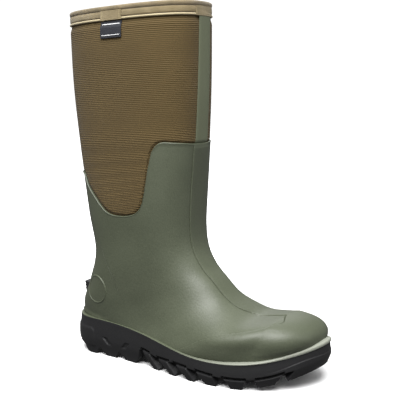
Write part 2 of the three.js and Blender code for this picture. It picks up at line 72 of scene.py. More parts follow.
def smooth(value, low, high):
    """0 below low, 1 above high and a smooth S between them; low may be the larger."""
    t = np.clip((value - low) / (high - low), 0, 1)
    return t * t * (3 - 2 * t)


def mix(a, b, t):
    return a + (b - a) * t


def cubic(a, b, c, d, u):
    """The Catmull-Rom curve between b and c, at a share u of the way; a and d are the points beside them."""
    return 0.5 * (2 * b + (c - a) * u + (2 * a - 5 * b + 4 * c - d) * u**2 + (3 * (b - c) + d - a) * u**3)


def curve_through(points, count):
    """A smooth open line of count points through a few given points: a Catmull-Rom curve."""
    p = np.asarray(points, float)
    p = np.vstack([2 * p[0] - p[1], p, 2 * p[-1] - p[-2]])
    s = np.linspace(0, len(points) - 1, count)
    i = np.minimum(s.astype(int), len(points) - 2)
    u = (s - i)[:, None]
    return cubic(*(p[i + k] for k in range(4)), u)


def loop_through(points, count):
    """The same as curve_through for a closed line, with the last point joined to the first."""
    p = np.asarray(points, float)
    s = np.arange(count) * len(p) / count
    i = s.astype(int)
    u = (s - i)[:, None]
    return cubic(*(p[(i + k) % len(p)] for k in (-1, 0, 1, 2)), u)


# ---- The form -------------------------------------------------------------------------------
# One row per section: back or underside x, z, front or instep x, z, half-width, sideways shift.
SECTIONS = np.array([
    [-8, 379, 158, 387, 49, 0],  # rim
    [-3, 301, 157, 309, 51, 0],
    [7, 226, 154, 238, 51.5, 0],
    [18, 161, 150, 184, 52, 0],
    [26, 116, 149, 150, 50, 0],  # ankle
    [16, 79, 153, 127, 49, 0],
    [5, 50, 164, 109, 47, 0],  # heel
    [16, 26, 179, 95, 45, 0],
    [55, 18, 193, 81, 46, 0],  # waist
    [102, 17, 209, 71, 51.5, 0],
    [152, 16, 226, 64, 58, -1],  # ball
    [197, 16, 243, 65.5, 56, -1.5],
    [232, 17, 258, 68.5, 49.5, -1],  # toe break
], float)
ENDED = np.vstack([2 * SECTIONS[0] - SECTIONS[1], SECTIONS, 2 * SECTIONS[-1] - SECTIONS[-2]])
TOE_BREAK = len(SECTIONS) - 1
TIP = TOE_BREAK + 1
TIP_POINT = (290.6, 7.5, 38)
SIDE_POWER, UNDER_POWER, FLAT_FROM = 2.7, 4, 7
TOE_ACROSS, TOE_UP = 2.35, 2.35


def form_mm(station, angle):
    """Pattern point of the outer face. The section at a station is a superellipse between its back and
    front points; past the toe break it moves to the tip and shrinks as a superellipsoid. Angle 0 is the
    front line and 90 the inner side."""
    station, angle = np.broadcast_arrays(np.asarray(station, float), np.asarray(angle, float))
    s = np.clip(station, -0.2, TOE_BREAK)
    i = np.clip(np.floor(s).astype(int), 0, TOE_BREAK - 1)
    u = (s - i)[..., None]
    row = cubic(*(ENDED[i + k] for k in range(4)), u)
    back_x, back_z, front_x, front_z, half, shift = np.moveaxis(row, -1, 0)
    along = np.sin(np.clip(station - TOE_BREAK, 0, 1) * np.pi / 2)
    across = np.maximum(0, 1 - along**TOE_ACROSS) ** (1 / TOE_ACROSS)
    up = np.maximum(0, 1 - along**TOE_UP) ** (1 / TOE_UP)
    cos, sin = np.cos(np.radians(angle)), np.sin(np.radians(angle))
    flat = np.where(cos < 0, smooth(station, FLAT_FROM, FLAT_FROM + 2), 0)
    power = mix(SIDE_POWER, UNDER_POWER, flat)
    p = np.sign(cos) * np.abs(cos) ** (2 / power)
    q = np.sign(sin) * np.abs(sin) ** (2 / power)
    x = mix((back_x + front_x) / 2, TIP_POINT[0], along) + (front_x - back_x) / 2 * up * p
    y = mix(shift, TIP_POINT[1], along**1.5) + half * across * q
    z = mix((back_z + front_z) / 2, TIP_POINT[2], along) + (front_z - back_z) / 2 * up * p
    return np.stack([x, y, z], -1)


def form(station, angle):
    return place(*np.moveaxis(form_mm(station, angle), -1, 0))


def unit(v):
    return v / np.maximum(np.linalg.norm(v, axis=-1, keepdims=True), 1e-12)


def raw_normal(station, angle):
    step = 1e-3
    along = form(station + step, angle) - form(station - step, angle)
    around = form(station, angle + 1) - form(station, angle - 1)
    return unit(np.cross(along, around))


POLE = 0.02  # share of the last bay in which all the normals turn to the tip's own
TIP_NORMAL = unit(raw_normal(np.full(4, TIP - POLE), np.array([0.0, 90, 180, 270])).sum(0))


def normal(station, angle):
    """Outward direction of the form, from differences along and round it."""
    station, angle = np.broadcast_arrays(np.asarray(station, float), np.asarray(angle, float))
    n = raw_normal(np.minimum(station, TIP - POLE), angle)
    share = np.clip((station - TIP + POLE) / POLE, 0, 1)[..., None]
    return unit(mix(n, TIP_NORMAL, share))


def skin(station, angle, depth):
    """The form moved in by a depth in millimetres; a negative depth stands out."""
    return form(station, angle) - normal(station, angle) * (np.asarray(depth, float) * MM)[..., None]


FIRST_BAY = np.linalg.norm(form(0, 0) - form(1, 0)) / MM


def dropped(drop):
    """Station that lies a drop in millimetres below the rim, measured down the front line."""
    return np.asarray(drop, float) / FIRST_BAY


def spread(values, weights, count, ends=True):
    """Count values spaced evenly by the running sum of their weights."""
    total = np.concatenate([[0], np.cumsum((weights[1:] + weights[:-1]) / 2 * np.diff(values))])
    return np.interp(np.linspace(0, total[-1], count, endpoint=ends), total, values)


def columns(count):
    """Angles round the section, even along the girth of shaft and foot."""
    fine = np.linspace(0, 360, 3601)
    shaft, foot = form(3, fine), form(10, fine)
    lengths = [np.linalg.norm(np.gradient(line, fine, axis=0), axis=1) for line in (shaft, foot)]
    weights = sum(length / length.mean() for length in lengths)
    return spread(fine, weights, count, ends=False)


# Depths of the layers, in millimetres
RUBBER = 2.2
FACING = (2.5, 3.7)
INSULATION = (4.0, 8.0)
LINING = (8.3, 9.3)
FOOTBED = (9.6, 14.1)
FOOTBED_COVER = (14.4, 15.2)

# Drops down the collar, in millimetres
WALL_START = 1.5
BINDING = 5
TAPE = 12.2
PIPING = 15.0

# Side outline of the moulded shell's top edge, back to front, as pattern x and z
EDGE = np.vstack([
    [[-80, 206.5]],
    curve_through([
        [20, 206.5], [27, 204.5], [31, 198], [36, 191], [46, 182], [57, 171.8], [65, 166], [75, 163.2],
        [86, 163], [96, 164.4], [103, 167.2], [109, 173], [112.5, 182], [116, 202], [119, 221], [122, 233],
        [127, 239.8], [132.5, 242.6], [141, 242.3], [149, 241.5], [154, 240.2],
    ], 160),
    [[300, 240]],
])


def plain_column(station, column):
    return column


def edge_station(column, path=plain_column):
    """Station at which a column crosses the shell's top edge, by halving. path gives the angle where
    the column runs at a station, and a plain column keeps its own."""
    low, high = np.full(column.shape, 0.5), np.full(column.shape, 6.0)
    for _ in range(40):
        middle = (low + high) / 2
        p = form_mm(middle, path(middle, column))
        above = p[..., 2] > np.interp(p[..., 0], EDGE[:, 0], EDGE[:, 1])
        low, high = np.where(above, middle, low), np.where(above, high, middle)
    return (low + high) / 2


# ---- Meshes ---------------------------------------------------------------------------------
def make_mesh(name, points, faces, uv=None, crease=35):
    """A mesh object from points and four-sided faces, turned to face out, with doubles merged."""
    a, b, c, d = (points[faces[:, k]] for k in range(4))
    volume = np.einsum("ij,ij->i", a, np.cross(b, c) + np.cross(c, d)).sum()
    if volume < 0:
        faces = faces[:, ::-1]
        uv = None if uv is None else uv[:, ::-1]
    mesh = bpy.data.meshes.new(name)
    mesh.vertices.add(len(points))
    mesh.vertices.foreach_set("co", points.astype(np.float32).ravel())
    mesh.loops.add(faces.size)
    mesh.loops.foreach_set("vertex_index", faces.astype(np.int32).ravel())
    mesh.polygons.add(len(faces))
    mesh.polygons.foreach_set("loop_start", np.arange(0, faces.size, 4, dtype=np.int32))
    if uv is not None:
        layer = mesh.uv_layers.new(name="cloth")
        layer.uv.foreach_set("vector", uv.astype(np.float32).ravel())
    mesh.update(calc_edges=True)
    merge(mesh)
    mesh.polygons.foreach_set("use_smooth", np.ones(len(mesh.polygons), bool))
    mesh.set_sharp_from_angle(angle=math.radians(crease))
    obj = bpy.data.objects.new(name, mesh)
    bpy.context.scene.collection.objects.link(obj)
    return obj


def merge(mesh, within=2e-6):
    """Points at the same place become one, and faces left without area go."""
    work = bmesh.new()
    work.from_mesh(mesh)
    bmesh.ops.remove_doubles(work, verts=work.verts, dist=within)
    bmesh.ops.dissolve_degenerate(work, edges=work.edges, dist=within)
    loose = [v for v in work.verts if not v.link_faces]
    bmesh.ops.delete(work, geom=loose, context="VERTS")
    work.to_mesh(mesh)
    work.free()


def grid_corners(down, around):
    """Row and column numbers at the four corners of each face of a grid with that many faces each way."""
    i, j = (k.ravel() for k in np.meshgrid(np.arange(down), np.arange(around), indexing="ij"))
    return ((i, j), (i, j + 1), (i + 1, j + 1), (i + 1, j))


def ring_faces(n, m, down=None):
    """Faces between n closed rings of m points each. down of n joins the last ring to the first."""
    corners = grid_corners(n - 1 if down is None else down, m)
    return np.stack([(a % n) * m + b % m for a, b in corners], -1)


def capped(rings):
    """The rings with one more at each end, drawn in to that end's own middle."""
    first, last = (np.repeat(rings[k].mean(0)[None], rings.shape[1], 0)[None] for k in (0, -1))
    return np.concatenate([first, rings, last])


def loft(name, rings, joined=False, cloth=False, crease=35):
    """A closed surface through rings of points (n, m, 3): four-sided faces between each ring and the
    next. joined joins the last ring to the first, and otherwise each end is drawn in to its own middle.
    cloth adds a UV map in metres, u across the rings and v round each ring."""
    rings = np.asarray(rings, float)
    if not joined:
        rings = capped(rings)
    n, m = rings.shape[:2]
    down = n if joined else n - 1
    uv = None
    if cloth:
        across = np.linalg.norm(np.roll(rings, -1, 0) - rings, axis=2).mean(1)
        along = np.linalg.norm(np.roll(rings, -1, 1) - rings, axis=2).mean(0)
        u, v = (np.concatenate([[0], np.cumsum(steps)]) for steps in (across, along))
        uv = np.stack([np.stack([u[a], v[b]], -1) for a, b in grid_corners(down, m)], 1)
    return make_mesh(name, rings.reshape(-1, 3), ring_faces(n, m, down), uv, crease)


def hoop(name, angles, profile, **options):
    """A closed profile of (station, depth) carried round the boot. Each may vary with the angle."""
    full = angles.shape
    rings = [skin(np.broadcast_to(s, full), angles, np.broadcast_to(d, full)) for s, d in profile]
    return loft(name, np.stack(rings, 1), joined=True, **options)


def layer(name, angles, stations, depths, **options):
    """A wall between two depths from the rim to the closed toe: down the outside and back up inside."""
    outer, inner = depths
    profile = [(s, outer) for s in stations] + [(s, inner) for s in stations[::-1]]
    return hoop(name, angles, profile, **options)


def tongue(name, stations, angles, outer, inner, edge=0.25, **options):
    """An open sheet of the wall between two depths over some stations and angles, with rounded sides:
    a ring at each station runs across the outside and back across the inside."""
    middle = (outer + inner) / 2
    across = np.concatenate([[angles[0]], angles, [angles[-1]], angles[::-1]])
    half = (inner - outer) / 2
    swell = np.full(len(angles), half)
    swell[[0, -1]] *= 1 - edge
    depth = np.concatenate([[middle], middle - swell, [middle], (middle + swell)[::-1]])
    rings = skin(stations[:, None], across[None], np.broadcast_to(depth, (len(stations), len(across))))
    return loft(name, rings, **options)


def keep(obj, material, body="boot", nodes=()):
    """Gives a finished piece its material and body, and hides the CAD nodes that it stands for."""
    obj.data.materials.clear()
    obj.data.materials.append(material)
    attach(obj, body)
    if nodes:
        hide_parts(*nodes)
    return obj


# ---- Camera, light and floor ----------------------------------------------------------------
CAMERA_PLACE = (0.4586, -0.7363, 0.3036)
CAMERA_TURN = math.radians(31.6)
CAMERA_DIP = math.radians(8.2)
SENSOR = 36.0
LENS = 73.3


def camera():
    data = bpy.data.cameras.new("camera")
    data.sensor_width = SENSOR
    data.lens = LENS
    obj = bpy.data.objects.new("camera", data)
    obj.location = CAMERA_PLACE
    obj.rotation_euler = (math.pi / 2 - CAMERA_DIP, 0, CAMERA_TURN)
    bpy.context.scene.collection.objects.link(obj)
    bpy.context.scene.camera = obj


ROOM_LIGHT, ROOM_WHITE = 0.28, 1.1  # as it lights the object, and as it is seen


def soft_light(name, place_at, aim, size, power):
    """A square area light of a size in metres that faces a point."""
    data = bpy.data.lights.new(name, "AREA")
    data.shape = "SQUARE"
    data.size = size
    data.energy = power
    obj = bpy.data.objects.new(name, data)
    away = np.array(place_at, float) - np.array(aim, float)
    level = math.hypot(away[0], away[1])
    obj.rotation_euler = (math.atan2(level, away[2]), 0, math.atan2(away[0], -away[1]))
    obj.location = place_at
    bpy.context.scene.collection.objects.link(obj)


def studio():
    """One big soft light high on the outer side, weak ones at the toe and behind, and a white room that
    lights the object less than it shows."""
    centre = (0, 0, 0.16)
    soft_light("key", (0.35, -1.0, 2.05), centre, 1.9, 150)
    soft_light("toe_side", (1.9, 0.35, 1.0), centre, 1.2, 7)
    soft_light("back", (-0.9, 1.6, 1.4), centre, 1.4, 14)
    world = bpy.data.worlds.new("studio")
    world.use_nodes = True
    nodes, links = world.node_tree.nodes, world.node_tree.links
    seen = nodes.new("ShaderNodeLightPath")
    room, white = nodes.new("ShaderNodeBackground"), nodes["Background"]
    for background, strength in ((room, ROOM_LIGHT), (white, ROOM_WHITE)):
        background.inputs["Color"].default_value = (1, 1, 1, 1)
        background.inputs["Strength"].default_value = strength
    choice = nodes.new("ShaderNodeMixShader")
    links.new(seen.outputs["Is Camera Ray"], choice.inputs[0])
    links.new(room.outputs[0], choice.inputs[1])
    links.new(white.outputs[0], choice.inputs[2])
    links.new(choice.outputs[0], nodes["World Output"].inputs["Surface"])
    bpy.context.scene.world = world
    bpy.context.scene.view_settings.view_transform = "Standard"


def floor(material):
    """A level sheet of paper under the boot, in a grid of squares."""
    reach = 6.0
    n = 24
    line = np.linspace(-reach, reach, n)
    x, y = np.meshgrid(line, line, indexing="ij")
    points = np.stack([x, y, np.zeros_like(x)], -1).reshape(-1, 3)
    faces = np.stack([a * n + b for a, b in grid_corners(n - 1, n - 1)], -1)[:, ::-1]
    obj = make_mesh("studio_floor", points, faces)
    obj.data.materials.append(material)
    obj.visible_diffuse = False  # the paper is bright, and its bounce would flatten the shading
    obj.visible_glossy = False


# ---- Materials ------------------------------------------------------------------------------
def linear(red, green, blue):
    """A colour given as it looks on a screen, 0 to 255, as the linear colour that a shader takes."""
    c = np.array([red, green, blue], float) / 255
    return (*np.where(c <= 0.04045, c / 12.92, ((c + 0.055) / 1.055) ** 2.4), 1.0)


class Value:
    """A number in a shader. Arithmetic on it adds Math nodes to its material."""

    def __init__(self, finish, socket):
        self.finish = finish
        self.socket = socket

    def math(self, operation, *others, clamp=False):
        settings = {"operation": operation, "use_clamp": clamp}
        inputs = dict(enumerate((self, *others)))
        return self.finish.value("ShaderNodeMath", settings, inputs)

    def __add__(self, other):
        return self.math("ADD", other)

    def __mul__(self, other):
        return self.math("MULTIPLY", other)

    def __sub__(self, other):
        return self.math("SUBTRACT", other)

    def __truediv__(self, other):
        return self.math("DIVIDE", other)

    def __pow__(self, other):
        return self.math("POWER", other)

    def __rsub__(self, other):
        return self.math("MULTIPLY", -1) + other

    __radd__ = __add__
    __rmul__ = __mul__

    def sin(self):
        return self.math("SINE")

    def size(self):
        return self.math("ABSOLUTE")

    def held(self):
        """The value kept between 0 and 1."""
        return self.math("ADD", 0, clamp=True)

    def step(self, low, high):
        """0 below low, 1 above high and a smooth S between them."""
        settings = {"interpolation_type": "SMOOTHSTEP"}
        inputs = {"Value": self, "From Min": low, "From Max": high}
        return self.finish.value("ShaderNodeMapRange", settings, inputs)


class Finish:
    """One material: a Principled shader with its constants set, and the nodes that vary it."""

    def __init__(self, name, **constants):
        self.material = bpy.data.materials.new(name)
        self.material.use_nodes = True
        self.tree = self.material.node_tree
        self.shader = self.tree.nodes["Principled BSDF"]
        for key, value in constants.items():
            self.shader.inputs[key.replace("_", " ").title().replace("Ior", "IOR")].default_value = value

    def node(self, kind, settings=None, inputs=None):
        made = self.tree.nodes.new(kind)
        for key, value in (settings or {}).items():
            setattr(made, key, value)
        for key, value in (inputs or {}).items():
            self.feed(made.inputs[key], value)
        return made

    def feed(self, socket, value):
        """Links a value, socket or node to a socket, or sets it where it is a number or colour."""
        if isinstance(value, Value):
            value = value.socket
        if isinstance(value, bpy.types.Node):
            value = value.outputs[0]
        if isinstance(value, bpy.types.NodeSocket):
            self.tree.links.new(value, socket)
        else:
            socket.default_value = value

    def value(self, kind, settings=None, inputs=None, output=0):
        return Value(self, self.node(kind, settings, inputs).outputs[output])

    def place(self):
        """Object coordinates, in metres."""
        return self.node("ShaderNodeTexCoord").outputs["Object"]

    def cloth(self):
        """The piece's own two lengths, in metres: across and along."""
        uv = self.node("ShaderNodeUVMap", {"uv_map": "cloth"})
        split = self.node("ShaderNodeSeparateXYZ", inputs={0: uv})
        return Value(self, split.outputs[0]), Value(self, split.outputs[1])

    def axes(self):
        split = self.node("ShaderNodeSeparateXYZ", inputs={0: self.place()})
        return [Value(self, split.outputs[k]) for k in range(3)]

    def noise(self, size, detail=3, roughness=0.5):
        """Cloudy noise from 0 to 1 whose blotches are about a size in metres across."""
        inputs = {"Vector": self.place(), "Scale": 1 / size, "Detail": detail, "Roughness": roughness}
        return self.value("ShaderNodeTexNoise", None, inputs)

    def pores(self, size):
        """Distance to the nearest of many scattered points about a size apart, from 0 at a point."""
        inputs = {"Vector": self.place(), "Scale": 1 / size}
        return self.value("ShaderNodeTexVoronoi", None, inputs)

    def blend(self, factor, first, second):
        """A colour between two others."""
        inputs = {0: factor, 6: first, 7: second}
        return self.node("ShaderNodeMix", {"data_type": "RGBA"}, inputs).outputs[2]

    def colour(self, socket):
        self.feed(self.shader.inputs["Base Color"], socket)

    def rough(self, value):
        self.feed(self.shader.inputs["Roughness"], value)

    def relief(self, *heights):
        """Adds bumps: pairs of a height from 0 to 1 and its depth in metres, coarse ones first."""
        bent = None
        for height, depth in heights:
            inputs = {"Height": height, "Distance": depth, "Strength": 1.0}
            if bent is not None:
                inputs["Normal"] = bent
            bent = self.node("ShaderNodeBump", None, inputs).outputs["Normal"]
        self.feed(self.shader.inputs["Normal"], bent)


def moulded_rubber(name, dark, light, roughness, grain=0.00008):
    """Moulded rubber: a slow drift of tone, fine specks, a matt satin face and a fine cast grain."""
    f = Finish(name, roughness=roughness, specular_ior_level=0.5)
    drift = f.noise(0.035, 2)
    specks = f.noise(0.0011, 2, 0.6)
    tone = (drift * 0.55 + specks.step(0.3, 0.72) * 0.45).held()
    f.colour(f.blend(tone, dark, light))
    f.rough(specks * 0.16 + drift * 0.08 + (roughness - 0.12))
    f.relief((f.noise(0.0026, 3, 0.6), grain * 2.2), (specks, grain))
    return f.material


def bead_rubber():
    """The bead's rubber, olive at the back, with a painted highlight that turns it paler from the ball to
    the toe.
    """
    f = Finish("bead_rubber", roughness=0.5, specular_ior_level=0.4)
    specks = f.noise(0.0011, 2, 0.6)
    # painted highlight: the bead is painted pale toward the toe, where its ledge would catch the light from
    # above
    toe_highlight_share = (f.axes()[0] + f.noise(0.03, 2) * 0.01).step(0.0, 0.1)
    olive = f.blend(specks, linear(64, 69, 54), linear(82, 87, 70))
    painted_highlight_colour = f.blend(specks, linear(116, 119, 108), linear(136, 139, 128))
    f.colour(f.blend(toe_highlight_share, olive, painted_highlight_colour))
    f.relief((specks, 0.00004))
    return f.material


def sole_rubber():
    """Black outsole rubber, greyer and rougher on the faces that meet the ground."""
    f = Finish("outsole_rubber", roughness=0.6, specular_ior_level=0.3)
    drift, specks = f.noise(0.02, 3), f.noise(0.0009, 2, 0.6)
    height = f.axes()[2]
    scuff = (1 - height.step(0.0, 0.012)) * f.noise(0.006, 4, 0.65).step(0.42, 0.62)
    worn = (specks * 0.35 + drift * 0.3 + scuff * 0.35).held()
    f.colour(f.blend(worn, linear(20, 20, 21), linear(39, 39, 40)))
    f.rough(specks * 0.2 + scuff * 0.15 + 0.48)
    f.relief((f.noise(0.003, 2), 0.00012), (specks, 0.00006))
    return f.material


def ribbed_knit():
    """Brown knitted facing: raised ribs round the shaft with painted shade in the valleys, crossed by the
    short upright stitches of the knit with painted shade between them, with a slow drift of tone and stray
    lighter fibres."""
    sheen = {"sheen_weight": 0.06, "sheen_roughness": 0.5}
    f = Finish("ribbed_knit", roughness=0.92, specular_ior_level=0.15, **sheen)
    across, along = f.cloth()
    ribs = (along * (2 * math.pi / (RIB_PITCH * MM)) + f.noise(0.012, 2) * 0.5).sin() * 0.5 + 0.5
    wales = (across * (2 * math.pi / (0.9 * MM)) + f.noise(0.006, 2) * 1.5).sin() * 0.5 + 0.5
    fibres = f.noise(0.0007, 3, 0.7)
    drift = f.noise(0.05, 3)
    # painted shade: the colour darkens in the valleys between the ribs and between the wales; the stray
    # fibres are lighter yarn
    tone = (ribs * 0.5 + wales * 0.14 + fibres * 0.36).held()
    valley_shade = f.blend(drift, linear(38, 30, 15), linear(46, 37, 20))
    high = f.blend(drift, linear(98, 82, 52), linear(112, 94, 60))
    f.colour(f.blend(tone, valley_shade, high))
    f.relief((ribs, 0.0002), (wales, 0.00012), (fibres, 0.00015))
    return f.material


def webbing(name, dark, light, blotch, patches):
    """Woven tape: a fine diagonal weave, in blotches of two tones."""
    f = Finish(name, roughness=0.85, sheen_weight=0.2, specular_ior_level=0.25)
    across, along = f.cloth()
    pitch = 2 * math.pi / (0.8 * MM)
    twill = ((across + along) * pitch).sin() * 0.5 + 0.5
    picks = (across * pitch * 1.6).sin() * 0.5 + 0.5
    thread = f.noise(0.0006, 2, 0.6)
    camouflage = f.noise(blotch, 2, 0.4).step(*patches)
    shade = (twill * 0.3 + picks * 0.2 + thread * 0.5).held()
    base = f.blend(camouflage, dark, light)
    shadow = f.node("ShaderNodeMix", {"data_type": "RGBA", "blend_type": "MULTIPLY"},
                    {0: 1.0, 6: base, 7: (0.55, 0.53, 0.5, 1)}).outputs[2]
    f.colour(f.blend(shade, shadow, base))
    f.relief((twill, 0.00012), (picks, 0.00006), (thread, 0.00008))
    return f.material


def thread(name, colour):
    """Sewing thread: a dull twisted yarn."""
    f = Finish(name, roughness=0.7, sheen_weight=0.3)
    fibres = f.noise(0.0003, 2, 0.6)
    dark = tuple(0.6 * c for c in colour[:3]) + (1.0,)
    f.colour(f.blend(fibres, dark, colour))
    f.relief((fibres, 0.00005))
    return f.material


def woven_label(name, dark, light):
    """Satin-woven label: fine crossing threads."""
    f = Finish(name, roughness=0.7, sheen_weight=0.04)
    across, along = f.cloth()
    pitch = 2 * math.pi / (0.35 * MM)
    weave = ((across * pitch).sin() * (along * pitch).sin()) * 0.5 + 0.5
    f.colour(f.blend((weave * 0.6 + f.noise(0.0008) * 0.4).held(), dark, light))
    f.relief((weave, 0.00006))
    return f.material


def soft_knit(name, dark, light, pitch):
    """Plain brushed jersey: small loops and a soft nap."""
    f = Finish(name, roughness=0.95, sheen_weight=0.35, specular_ior_level=0.15)
    across, along = f.cloth()
    turn = 2 * math.pi / (pitch * MM)
    loops = ((across * turn).sin().size() * (along * turn).sin().size()).held()
    nap = f.noise(0.0009, 3, 0.7)
    f.colour(f.blend((loops * 0.5 + nap * 0.5).held(), dark, light))
    f.relief((loops, 0.0002), (nap, 0.0002))
    return f.material


def cellular(name, dark, light, cell):
    """Closed-cell foam: shallow pores and a slow drift of tone."""
    f = Finish(name, roughness=0.9, specular_ior_level=0.25)
    pores = f.pores(cell).step(0.05, 0.5)
    f.colour(f.blend((pores * 0.6 + f.noise(0.01) * 0.4).held(), dark, light))
    f.relief((pores, 0.0002))
    return f.material


def fibre_board():
    """Pressed fibre board: short flat fibres."""
    f = Finish("fibre_board", roughness=0.88, specular_ior_level=0.2)
    fibres = f.noise(0.002, 5, 0.75)
    f.colour(f.blend(fibres.step(0.35, 0.65), linear(132, 110, 78), linear(176, 154, 118)))
    f.relief((fibres, 0.0001))
    return f.material


def shank_composite():
    """Glass-filled nylon: dark, slightly glossy, with a faint flow grain."""
    f = Finish("shank_composite", roughness=0.45)
    grain = f.noise(0.004, 3)
    f.colour(f.blend(grain, linear(24, 24, 26), linear(42, 42, 45)))
    f.rough(grain * 0.2 + 0.35)
    f.relief((grain, 0.00005))
    return f.material


def floor_paper():
    """White paper that glows a little, and more with distance, so that it ends in plain white."""
    f = Finish("studio_paper", roughness=0.9, specular_ior_level=0.1, emission_strength=1.0)
    x, y, _ = f.axes()
    away = (x * x + y * y) ** 0.5
    grain = f.noise(0.02, 2)
    f.colour(f.blend(grain, (0.93, 0.93, 0.93, 1), (0.95, 0.95, 0.95, 1)))
    glow = f.blend(away.step(0.2, 1.0), (0.0, 0.0, 0.0, 1), (1, 1, 1, 1))
    f.feed(f.shader.inputs["Emission Color"], glow)
    return f.material


# ---- Upper ----------------------------------------------------------------------------------
RIB_PITCH, RIB_HEIGHT = 2.0, 0.28  # of the knitted facing, in millimetres
FACING_SWELL = 0.95  # depth of the facing where nothing covers it
# Lines moulded into the shell. Their angles are folded: the same on both sides, 0 in front and 180 behind.
LINE_POINTS = 260
# half-width of the front band in millimetres, by station
BAND_EDGE = curve_through([
    [0, 14], [4, 14], [8.2, 14], [8.8, 13.6], [9.15, 11.4], [9.5, 7.4], [9.9, 4.0], [10.5, 2.4], [11.2, 2.2],
    [12.0, 3.6], [13, 4.5],
], LINE_POINTS)
# station of the toe cap's rear line, by angle
CAP_EDGE = curve_through([
    [0, 12.0], [8, 12.04], [18, 12.09], [28, 12.06], [36, 11.93], [43, 11.58], [49, 10.95], [55, 10.45],
    [62, 10.17], [71, 9.95], [85, 9.75], [130, 9.6], [180, 9.6],
], LINE_POINTS)
# angle of the heel counter's front line, by station
COUNTER_EDGE = curve_through([
    [0, 140], [2, 138], [2.4, 135.8], [2.75, 132.6], [3.16, 129], [3.6, 124.5], [4.0, 117.5], [4.5, 106.5],
    [5.1, 97.2], [5.7, 93.2], [6.3, 92.4], [7, 92], [13, 92],
], LINE_POINTS)


def folded(angle):
    return 180 - np.abs(180 - np.mod(angle, 360))


def band_half(station):
    return np.interp(station, *BAND_EDGE.T)


def distance(value, station, angle):
    """Distance in millimetres over the form from the line where a function of station and angle is
    zero: its value over the length of its gradient."""
    ds, da = 2e-3, 0.1
    pace = np.linalg.norm(form_mm(station + ds, angle) - form_mm(station - ds, angle), axis=-1) / (2 * ds)
    turn = np.linalg.norm(form_mm(station, angle + da) - form_mm(station, angle - da), axis=-1) / (2 * da)
    down = (value(station + ds, angle) - value(station - ds, angle)) / (2 * ds) / np.maximum(pace, 0.5)
    across = (value(station, angle + da) - value(station, angle - da)) / (2 * da) / np.maximum(turn, 0.05)
    return value(station, angle) / np.maximum(np.hypot(down, across), 1e-3)


def inside_band(station, angle):
    return band_half(station) - np.abs(form_mm(station, angle)[..., 1]) - 40 * (folded(angle) > 90)


def inside_cap(station, angle):
    return station - np.interp(folded(angle), *CAP_EDGE.T)


def inside_counter(station, angle):
    return folded(angle) - np.interp(station, *COUNTER_EDGE.T)


def step_and_groove(reach, height, depth, width=0.34):
    """A raised edge with a groove along its foot: a smooth step up across the line, and a bell cut
    out just outside it."""
    return height * smooth(reach, -0.2, 0.5) - depth * np.exp(-(((reach + width) / width) ** 2))


def shell_relief(station, angle):
    """How far the moulded face stands out, in millimetres: the front band and toe cap are one raised
    layer and the heel counter a slightly sunk one, each with a groove along its line, and a rand runs
    above the sole behind."""
    x, y, z = np.moveaxis(form_mm(station, angle), -1, 0)
    turned = folded(angle)
    cap = np.where(station > 8, distance(inside_cap, station, angle), -30)
    band = distance(inside_band, station, angle)
    faint = mix(1, mix(0.3, 0.1, smooth(turned, 50, 72)), smooth(turned, 10, 34) * smooth(cap - band, -2, 2))
    overlay = step_and_groove(np.maximum(np.clip(cap, -30, 30), np.clip(band, -30, 30)), 0.75, 0.75)
    behind = np.clip(distance(inside_counter, station, angle), -30, 30)
    fade = smooth(z, 64, 84)
    counter = step_and_groove(behind, -0.4, 0.5) * fade
    rand = 1.9 * smooth(mix(47.5, 42.6, smooth(x, 8, 52)) - z, -0.35, 0.35) * smooth(x, 62, 40)
    wave = 0.16 * np.sin(x / 19 + z / 27) * np.sin(z / 21 - y / 17)
    tuck = 1.3 * smooth(z - edge_height(x), 8, 3) * smooth(x, 235, 262) * smooth(x, 291, 278)
    return overlay * faint + counter + rand + wave - tuck


NEAR_LINE = np.array([-1.4, -1.0, -0.75, -0.55, -0.4, -0.25, -0.1, 0.05, 0.2, 0.35, 0.55, 0.9])  # mm
BAND_COLUMN, MIDDLE_COLUMN, COUNTER_COLUMN = 10.0, 60.0, 104.0


def shell_columns(count):
    """Columns of the shell's grid as the angles that they have at the top of the band, with more of
    them close to the lines that they follow."""
    even = columns(count)
    lines = [BAND_COLUMN, COUNTER_COLUMN]
    near = np.concatenate([np.concatenate([-line - NEAR_LINE * side, line + NEAR_LINE * side])
                           for line, side in zip(lines, (-1, 1))])
    near = np.mod(near, 360)
    clear = np.abs(np.mod(even[:, None] - near[None] + 180, 360) - 180).min(1) > 0.5
    return np.sort(np.concatenate([even[clear], near]))


def column_angle(station, column):
    """Where a column of the grid runs at a station: the edge of the front band and the front line of
    the heel counter each stay on one column, and the columns between are shared out."""
    turned = folded(column)
    ratio = np.clip(band_half(station) / band_width(station), 0, 1)
    band = np.degrees(np.arcsin(ratio ** (SIDE_POWER / 2)))
    counter = np.interp(station, *COUNTER_EDGE.T)
    inner = band * turned / BAND_COLUMN
    outer = mix(band, MIDDLE_COLUMN, (turned - BAND_COLUMN) / (MIDDLE_COLUMN - BAND_COLUMN))
    side = mix(MIDDLE_COLUMN, counter, (turned - MIDDLE_COLUMN) / (COUNTER_COLUMN - MIDDLE_COLUMN))
    back = mix(counter, 180, (turned - COUNTER_COLUMN) / (180 - COUNTER_COLUMN))
    moved = np.select([turned < BAND_COLUMN, turned < MIDDLE_COLUMN, turned < COUNTER_COLUMN],
                      [inner, outer, side], back)
    return np.where(np.mod(column, 360) > 180, 360 - moved, moved)


def band_width(station):
    """Half-width of the form itself at a station."""
    return form_mm(station, 90.0)[..., 1] - form_mm(station, 0.0)[..., 1]


def row_station(row, angle):
    """Where a row of the grid lies at an angle: rows from 7 on draw together so that row 12 is the
    rear line of the toe cap."""
    line = np.interp(folded(angle), *CAP_EDGE.T)
    before = mix(7, line, (row - 7) / 5)
    after = mix(line, TIP, row - 12)
    return np.where(row < 7, row, np.where(row < 12, before, after))


